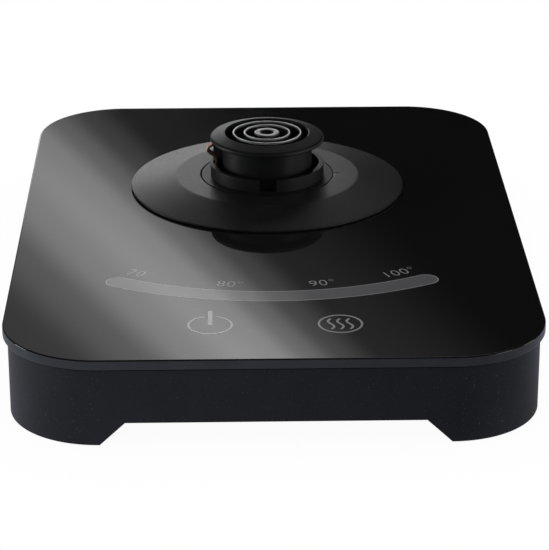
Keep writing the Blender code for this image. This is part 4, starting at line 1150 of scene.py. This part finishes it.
# ---- connector ------------------------------------------------------------------
@dataclass
class Connector:
    """The 360 degree connector: hub, core, cap, contact rings and springs."""

    gap: float = 0.3
    past: float = 1.0
    hub_radius: float = 22.0
    hub_wall: float = 1.8
    flange_thick: float = 2.0
    deck: float = 4.0
    floor_thick: float = 1.4
    tower_inset: float = 0.08
    tower_root: float = 0.7
    channel_set: float = 0.7
    channel_skin: float = 0.9
    channel_low: float = 1.0
    window_set: float = 1.2
    window_lift: float = 0.6
    gap_floor: float = 4.2
    collar_radius: float = 19.0
    collar_inner: float = 17.4
    collar_height: float = 8.2
    trough: float = 3.4
    core_radius: float = 15.0
    core_top: float = 17.2
    core_bore: float = 3.2
    drum_top: float = 1.7
    cap_radius: float = 19.0
    cap_lip: float = 16.1
    cap_side: float = 16.75
    cap_edge: float = 1.0
    crown_slope: float = 15.0
    cap_top: float = 18.8
    crown_drop: float = 0.05
    mouth_drop: float = 0.35
    mouth_round: float = 0.4
    lip_round: float = 0.3
    seam_depth: float = 0.12
    seam_width: float = 0.22
    recess_radius: float = 13.85
    slot_floor: float = -4.2
    ring_radii: tuple[float, float] = (7.5, 11.25)
    ring_half: float = 0.3
    ring_line: float = 0.22
    ring_trim: float = 0.3
    post_radius: float = 4.3
    socket_bore: float = 2.1
    metal_edge: float = 0.08 * MM
    rim_inset: float = 0.05
    tube_wall: float = 0.8
    eyelet_drop: float = 0.1
    eyelet_lead: float = 0.35
    eyelet_edge: float = 0.2
    eyelet_thick: float = 0.8
    dot_angles: tuple[float, float] = (170, 335)
    dot_set: float = 0.125 * MM
    dot_radius: float = 0.36 * MM
    dot_depth: float = 0.9 * MM
    tower_half_angle: float = 17.0
    contact_width: float = 2.8
    contact_bends: tuple[Point, ...] = ((17.0, 5.4), (17.0, 8.0), (17.0, 9.7), (17.1, 10.3), (17.5, 10.8),
                                        (18.4, 11.3), (19.3, 11.9), (19.78, 12.45), (19.9, 12.9),
                                        (19.78, 13.35), (19.3, 13.9), (18.4, 14.6), (17.5, 15.3))
    contact_thick: float = 0.75 * MM
    front_gap: float = 5.3
    edge_steps: int = 8
    fillet: float = 0.22 * MM

    def radial_block(self, name: str, near: float, far: float, width: float, low: float, high: float,
                     angle: float) -> Object:
        """Make a box along a radius of the connector.

        Args:
            name: name of the box.
            near: radius of its inner end, in millimetres.
            far: radius of its outer end, in millimetres.
            width: its width, in millimetres.
            low: height of its underside above the glass, in millimetres.
            high: height of its top above the glass, in millimetres.
            angle: direction of the radius, in degrees.

        Returns:
            The box.
        """
        box = block(name, (near * MM, -width / 2 * MM, low * MM), (far * MM, width / 2 * MM, high * MM))
        box.rotation_euler.z = math.radians(angle)
        box.location = CONNECTOR_AXIS
        return settle(box)

    def build_hub(self) -> Object:
        """Model the hub: collar, trough, flange and the side contact's tower."""
        flange_low, flange_radius = (HUB_LOW.z - GLASS_TOP) / MM, (HUB_HIGH.x - HUB_LOW.x) / 2 / MM
        flange_top, floor = flange_low + self.flange_thick, self.trough - self.floor_thick
        body, bore = self.core_radius + self.gap, self.hub_radius - self.hub_wall
        profile = [(self.collar_inner, self.collar_height), (self.collar_radius, self.collar_height),
                   (self.collar_radius, self.deck), (self.hub_radius, self.deck),
                   (self.hub_radius, flange_top), (flange_radius, flange_top), (flange_radius, flange_low),
                   (bore, flange_low), (bore, floor), (body, floor), (body, self.trough),
                   (self.collar_inner, self.trough)]
        hub = turned("connector_collar", above_glass(profile), CONNECTOR_AXIS)
        top, foot = self.cap_lip - self.gap, self.trough - self.tower_root
        skin = self.collar_radius - self.tower_inset
        section = above_glass([(body, top), (skin, top), (skin, foot), (body, foot)])
        sweep = math.radians(2 * self.tower_half_angle)
        tower = turned("tower", section, CONNECTOR_AXIS, sweep=sweep, steps=120)
        tower.data.transform(Matrix.Translation(CONNECTOR_AXIS)
                             @ Matrix.Rotation(math.radians(180 - self.tower_half_angle), 4, "Z")
                             @ Matrix.Translation(-CONNECTOR_AXIS))
        cut(hub, tower, Cut.JOIN)
        slot, beyond = self.contact_width + 2 * self.gap, self.collar_radius + self.past
        cut(hub, self.radial_block("channel", body + self.channel_set, self.collar_radius - self.channel_skin,
                                   slot, self.channel_low, top + self.past, 180))
        cut(hub, self.radial_block("window", self.collar_radius - self.window_set, beyond + self.past, slot,
                                   self.collar_height + self.window_lift, top + 2 * self.past, 180))
        cut(hub, self.radial_block("gap", self.collar_inner - self.gap, beyond, self.front_gap,
                                   self.gap_floor, self.collar_height + 2 * self.past, 270))
        soften(hub, self.fillet, segments=3, angle=35)
        return smooth(hub)

    def build_core(self) -> Object:
        """Model the core with its three ring slots and middle post."""
        flange_low = (HUB_LOW.z - GLASS_TOP) / MM
        ring_top = self.cap_top - self.ring_trim - self.gap
        drum = self.hub_radius - self.hub_wall - self.gap
        inner, outer = self.ring_radii
        walls = [(self.post_radius, self.slot_floor), (inner - self.ring_half, self.slot_floor)]
        for radius in (inner, outer):
            low, high = radius - self.ring_half, radius + self.ring_half
            if radius == outer:
                walls.append((low, self.slot_floor))
            walls += [(low, ring_top), (high, ring_top), (high, self.slot_floor)]
        profile = [(self.recess_radius, self.core_top), (self.core_radius, self.core_top),
                   (self.core_radius, self.drum_top), (drum, self.drum_top), (drum, flange_low),
                   (self.core_bore, flange_low), (self.core_bore, ring_top), (self.post_radius, ring_top),
                   *walls, (self.recess_radius, self.slot_floor)]
        return smooth(turned("slotted_core", above_glass(profile), CONNECTOR_AXIS))

    def build_cap(self) -> Object:
        """Model the mushroom cap with a fine moulding seam at its front."""
        middle = self.cap_radius - self.cap_edge
        edge = []
        for i in range(self.edge_steps + 1):
            angle = math.radians((90 - self.crown_slope) * (1 - i / self.edge_steps))
            out, up = self.cap_edge * math.cos(angle), self.cap_edge * math.sin(angle)
            edge.append((middle + out, self.cap_side + up))
        fit, shoulder = self.core_radius + self.gap, self.core_top + self.gap
        profile = [(self.recess_radius, self.cap_top - self.mouth_drop),
                   (self.recess_radius + self.mouth_round, self.cap_top - self.crown_drop), *edge,
                   (self.cap_radius, self.cap_lip + self.lip_round),
                   (self.cap_radius - self.lip_round, self.cap_lip), (fit, self.cap_lip), (fit, shoulder),
                   (self.recess_radius, shoulder)]
        cap = turned("mushroom_cap", above_glass(profile), CONNECTOR_AXIS, steps=160)
        seam = self.radial_block("seam", self.cap_radius - self.seam_depth, self.cap_radius + self.past,
                                 self.seam_width, self.cap_lip - self.past, self.cap_side + self.gap, 270)
        cut(cap, seam)
        return smooth(cap)

    def build_ring(self, name: str, radius: float) -> Object:
        """Model one bright contact ring on the wall between two slots."""
        low, high = radius - self.ring_line, radius + self.ring_line
        top = self.cap_top - self.crown_drop
        bottom = top - self.ring_trim
        section = above_glass([(low, top), (high, top), (high, bottom), (low, bottom)])
        ring = turned(name, section, CONNECTOR_AXIS, hold=0.1 * MM)
        soften(ring, self.metal_edge, segments=3)
        return smooth(ring)

    def build_socket(self) -> Object:
        """Model the earth socket's bright eyelet and its two staked dots."""
        bore, rim = self.socket_bore, self.post_radius - self.rim_inset
        tube = bore + self.tube_wall
        top, bottom = self.cap_top - self.eyelet_drop, (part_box("earth_socket")[0].z - GLASS_TOP) / MM
        under = top - self.eyelet_thick
        profile = [(bore, top - self.eyelet_lead), (bore + self.eyelet_lead, top),
                   (rim - self.eyelet_edge, top), (rim, top - self.eyelet_edge), (rim, under), (tube, under),
                   (tube, bottom), (bore, bottom)]
        socket = turned("earth_eyelet", above_glass(profile), CONNECTOR_AXIS, steps=72)
        soften(socket, self.metal_edge, segments=2)
        for angle in self.dot_angles:
            spot = arc(CONNECTOR_AXIS, (bore + rim) / 2 * MM + self.dot_set, angle, angle, 1)[0]
            spot.z += top * MM
            cut(socket, rod("staking_dot", self.dot_radius, self.dot_depth, spot, 20))
        return smooth(socket)

    def dress_socket(self, socket: Object) -> None:
        """Fix the eyelet and paint its deep bore dark: painted shade standing in for the shaded steel inside
        the hole.
        """
        seat(socket, EYELET_STEEL, ["earth_socket"])
        # The bore's faces get the painted shade finish, dark where the real steel is only shaded.
        socket.data.materials.append(PAINTED_SHADE_BORE.make())
        for face in socket.data.polygons:
            out = face.center - CONNECTOR_AXIS
            if math.hypot(out.x, out.y) < (self.socket_bore + 0.1) * MM:
                face.material_index = 1

    def build_side_contact(self) -> Object:
        """Model the bent copper spring that stands out of the tower's window."""
        half = self.contact_width / 2 * MM
        points = [CONNECTOR_AXIS + Vector((-r * MM, 0, z * MM)) for r, z in self.contact_bends]
        spring = drawn_wire("side_spring", [point - Vector((0, half, 0)) for point in points])
        bpy.ops.mesh.extrude_region_move(TRANSFORM_OT_translate={"value": (0, 2 * half, 0)})
        bpy.ops.object.mode_set(mode="OBJECT")
        wall = spring.modifiers.new("sheet", "SOLIDIFY")
        wall.thickness = self.contact_thick
        wall.offset = 0.0
        apply_modifiers(spring)
        soften(spring, 0.12 * MM, segments=2, angle=50)
        return smooth(spring, 45)

    def build(self) -> None:
        """Model, dress and fix the connector's pieces."""
        seat(self.build_hub(), CONNECTOR_PLASTIC, ["connector_hub"])
        seat(self.build_core(), CONNECTOR_PLASTIC, ["connector_core"])
        seat(self.build_cap(), CONNECTOR_PLASTIC, ["connector_cap"])
        for name, radius in zip(("slot_ring_inner", "slot_ring_outer"), self.ring_radii):
            seat(self.build_ring("bright_" + name, radius), BRIGHT_STEEL, [name])
        self.dress_socket(self.build_socket())
        seat(self.build_side_contact(), COPPER, ["side_contact"], Body.SIDE_CONTACT)
        for wire in ("live", "neutral", "signal"):
            dress_node(wire + "_leaf", COPPER)
            dress_node(wire + "_terminal", COPPER)
        dress_node("side_terminal", COPPER)
        dress_node("core_retainer", RETAINER_PLASTIC)
        for i in range(1, 4):
            dress_node(f"connector_screw_{i}", ZINC)


# ---- electronics ----------------------------------------------------------------
@dataclass
class Electronics:
    """Boards, components and wiring inside the closed base."""

    finishes: dict[str, Finish | BoardFinish] = field(default_factory=lambda: {
        "touch_board": CIRCUIT_BOARD, "power_board": CIRCUIT_BOARD, "relay": RELAY_BLUE,
        "transformer": COIL_TAPE, "film_capacitor": CAPACITOR_GREY, "terminal_block": TERMINAL_GREEN,
        "bulk_capacitor": SLEEVE_BLACK, "buzzer": SLEEVE_BLACK, "fuse": FUSE_GLASS,
        "live_wire": LIVE_SLEEVE, "neutral_wire": NEUTRAL_SLEEVE, "earth_wire": EARTH_SLEEVE,
        "signal_wire": SIGNAL_SLEEVE, "ribbon_cable": RIBBON_GREY, "slider_light_guide": LIGHT_GUIDE,
        "power_light_guide": LIGHT_GUIDE, "warm_light_guide": LIGHT_GUIDE, "touch_board_screw_1": ZINC,
        "touch_board_screw_2": ZINC, "power_board_screw_1": ZINC, "power_board_screw_2": ZINC})

    def dress(self) -> None:
        """Give each inner CAD node its finish."""
        for node, finish in self.finishes.items():
            dress_node(node, finish)


# ---- studio ---------------------------------------------------------------------
@dataclass(frozen=True)
class SoftBox:
    """A square area light that points at the base.

    The direction is the angle from the rear towards the right and the angle
    above the floor, both in degrees.
    """

    name: str
    round_angle: float
    rise_angle: float
    size: float
    power: float
    distance: float = 1.15

    def set_up(self) -> None:
        """Hang the light and aim it."""
        around, rise = math.radians(self.round_angle), math.radians(self.rise_angle)
        level = math.cos(rise)
        towards = Vector((level * math.sin(around), level * math.cos(around), math.sin(rise)))
        start_clean()
        bpy.ops.object.light_add(type="AREA", location=towards * self.distance)
        light = take(self.name)
        light.data.shape = "SQUARE"
        light.data.size = self.size
        light.data.energy = self.power
        light.rotation_euler = towards.to_track_quat("Z", "Y").to_euler()


@dataclass(frozen=True)
class GradedCard:
    """An upright glowing card behind the base, which shows as a soft slanting band in the glass."""

    distance: float = 1.25
    left: float = -0.95
    right: float = 0.5
    low: float = 0.12
    high: float = 0.95
    slope: tuple[float, float, float] = (0.5, 0.0, -0.4815)
    offset: float = 0.28005
    dark_left: float = -0.16
    dark_right: float = 0.10
    base_glow: float = 1.26
    base_height: float = 0.4535
    glow_per_metre: float = 4.65
    stops: tuple[Point, ...] = ((0.0, 0.08), (0.2, 0.14), (0.32, 0.36), (0.42, 0.80), (0.5, 1.0),
                                (0.56, 0.90), (0.615, 0.5), (0.67, 0.2), (0.74, 0.05), (1.0, 0.0))

    def material(self) -> Material:
        """Build the card's glow: a soft ridge across it that grows brighter upwards.

        Returns:
            The new material.
        """
        nodes = Nodes("graded_glow")
        place = nodes.place()
        across = nodes.add("VectorMath", operation="DOT_PRODUCT")
        nodes.link(place, across.inputs[0])
        across.inputs[1].default_value = self.slope
        ends = (self.dark_left - self.offset, self.dark_right - self.offset)
        share = nodes.rescale(across.outputs["Value"], ends, (0.0, 1.0)).outputs["Result"]
        split = nodes.add("SeparateXYZ")
        nodes.link(place, split.inputs[0])
        ends = (self.low, self.high)
        levels = [self.base_glow + (height - self.base_height) * self.glow_per_metre for height in ends]
        glow = nodes.glow(nodes.rescale(split.outputs["Z"], ends, levels).outputs["Result"])
        stops = [(position, (level, level, level)) for position, level in self.stops]
        nodes.link(nodes.ramp(share, stops, "EASE"), glow.inputs["Color"])
        return nodes.show(glow.outputs["Emission"])

    def set_up(self) -> None:
        """Stand the card behind the base, out of the camera's sight."""
        start_clean()
        bpy.ops.mesh.primitive_plane_add(size=1.0, location=((self.left + self.right) / 2, self.distance,
                                                             (self.low + self.high) / 2),
                                         rotation=(math.pi / 2, 0, 0))
        card = take("graded_card")
        card.scale = (self.right - self.left, self.high - self.low, 1.0)
        settle(card)
        card.data.materials.append(self.material())
        card.visible_camera = False
        card.visible_shadow = False


@dataclass(frozen=True)
class Surround:
    """White floor and backdrop, which the camera sees and the base's finishes don't."""

    floor_size: float = 12.0
    dome_radius: float = 9.0
    contact_reach: float = 0.035
    contact_shade: float = 0.955
    bounce: tuple[float, float, float] = (0.40, 0.43, 0.48)
    bounce_height: float = 0.2 * MM
    bounce_left: float = 1.15
    bounce_right: float = 0.35
    bounce_reach: float = 0.09
    bounce_rear: float = 1.0
    front_line: float = -0.125
    rear_line: float = -0.05

    def glow(self, name: str, shaded: bool) -> Material:
        """Build a plain white glow, with a soft shade close to the base if it is asked for.

        Args:
            name: name of the material.
            shaded: whether the floor darkens under the base.

        Returns:
            The new material.
        """
        nodes = Nodes(name)
        if not shaded:
            return nodes.show(nodes.glow().outputs["Emission"])
        near = nodes.add("AmbientOcclusion", samples=12)
        near.inputs["Distance"].default_value = self.contact_reach
        shade = nodes.rescale(near.outputs["AO"], (0.0, 1.0), (self.contact_shade, 1.0))
        side = nodes.add("MixShader")
        nodes.link(nodes.add("NewGeometry").outputs["Backfacing"], side.inputs["Fac"])
        nodes.link(nodes.glow(shade.outputs["Result"]).outputs["Emission"], side.inputs[1])
        nodes.link(nodes.add("BsdfTransparent").outputs["BSDF"], side.inputs[2])
        return nodes.show(side.outputs["Shader"])

    def graded_bounce(self) -> Material:
        """Build the light that the floor throws up: even behind the front, brighter on the left before it.

        Returns:
            The new material.
        """
        nodes = Nodes("floor_bounce")
        split = nodes.add("SeparateXYZ")
        nodes.link(nodes.place(), split.inputs[0])
        across = (-self.bounce_reach, self.bounce_reach)
        level = nodes.rescale(split.outputs["X"], across, (self.bounce_left, self.bounce_right))
        behind = nodes.rescale(split.outputs["Y"], (self.front_line, self.rear_line), (0.0, self.bounce_rear))
        nodes.link(level.outputs["Result"], behind.inputs["To Min"])
        glow = nodes.glow(behind.outputs["Result"])
        glow.inputs["Color"].default_value = (*self.bounce, 1.0)
        return nodes.show(glow.outputs["Emission"])

    def only_for_camera(self, obj: Object) -> None:
        """Keep a stage piece out of reflections, bounces and shadows."""
        obj.visible_diffuse = False
        obj.visible_glossy = False
        obj.visible_transmission = False
        obj.visible_shadow = False

    def set_up(self) -> None:
        """Lay the floor and raise the backdrop."""
        start_clean()
        bpy.ops.mesh.primitive_plane_add(size=self.floor_size)
        floor = take("studio_floor")
        floor.data.materials.append(self.glow("floor_white", True))
        self.only_for_camera(floor)
        start_clean()
        bpy.ops.mesh.primitive_uv_sphere_add(segments=48, ring_count=24, radius=self.dome_radius)
        dome = take("studio_backdrop")
        dome.data.materials.append(self.glow("backdrop_white", False))
        self.only_for_camera(dome)
        start_clean()
        bpy.ops.mesh.primitive_plane_add(size=2.4, location=(0, 0, self.bounce_height))
        bounce = settle(take("floor_bounce"))
        bounce.data.materials.append(self.graded_bounce())
        bounce.visible_camera = False
        bounce.visible_shadow = False


@dataclass(frozen=True)
class Studio:
    """Camera, lights and surroundings."""

    camera_place: tuple[float, float, float] = (-0.01366, -0.7499, 0.3163)
    camera_yaw: float = 1.181
    camera_pitch: float = 22.385
    camera_roll: float = -0.088
    lens: float = 161.35
    sensor: float = 36.0
    ambient: float = 0.35
    boxes: tuple[SoftBox, ...] = (
        SoftBox("left_box", -85, 5, 0.35, 2.6),
        SoftBox("right_box", 85, 5, 0.35, 0.95),
        SoftBox("front_right_box", 120, 10, 0.4, 1.5),
        SoftBox("rear_left_box", -15, 12, 0.2, 0.6),
        SoftBox("rear_box", -3, 12, 0.2, 0.5),
    )

    def set_camera(self) -> None:
        """Place the camera in front of the base, looking down at it."""
        start_clean()
        bpy.ops.object.camera_add(location=self.camera_place)
        camera = take("studio_camera")
        camera.data.lens = self.lens
        camera.data.sensor_width = self.sensor
        camera.data.sensor_fit = "AUTO"
        turn = (Matrix.Rotation(-math.radians(self.camera_yaw), 4, "Z")
                @ Matrix.Rotation(math.radians(90 - self.camera_pitch), 4, "X")
                @ Matrix.Rotation(math.radians(self.camera_roll), 4, "Z"))
        camera.rotation_euler = turn.to_euler()
        bpy.context.scene.camera = camera

    def set_world(self) -> None:
        """Give the room a faint even light and plain colour handling."""
        world = bpy.data.worlds.new("studio_air")
        world.use_nodes = True
        background = world.node_tree.nodes["Background"]
        background.inputs["Color"].default_value = (1.0, 1.0, 1.0, 1.0)
        background.inputs["Strength"].default_value = self.ambient
        world.cycles_visibility.glossy = False
        bpy.context.scene.world = world
        bpy.context.scene.view_settings.view_transform = "Standard"

    def set_up(self) -> None:
        """Set the camera, the surroundings and the lights."""
        self.set_camera()
        self.set_world()
        Surround().set_up()
        GradedCard().set_up()
        for box in self.boxes:
            box.set_up()


def main() -> None:
    """Build every sub-assembly in order and set the studio round it."""
    logging.basicConfig(level=logging.INFO, format="%(name)s: %(message)s")
    Studio().set_up()
    glass = GlassPlate()
    glass.dress(glass.build())
    TouchMarks().build()
    Housing().build()
    Platform().build()
    Connector().build()
    Electronics().dress()
    start_clean()


if __name__ == "__main__":
    main()
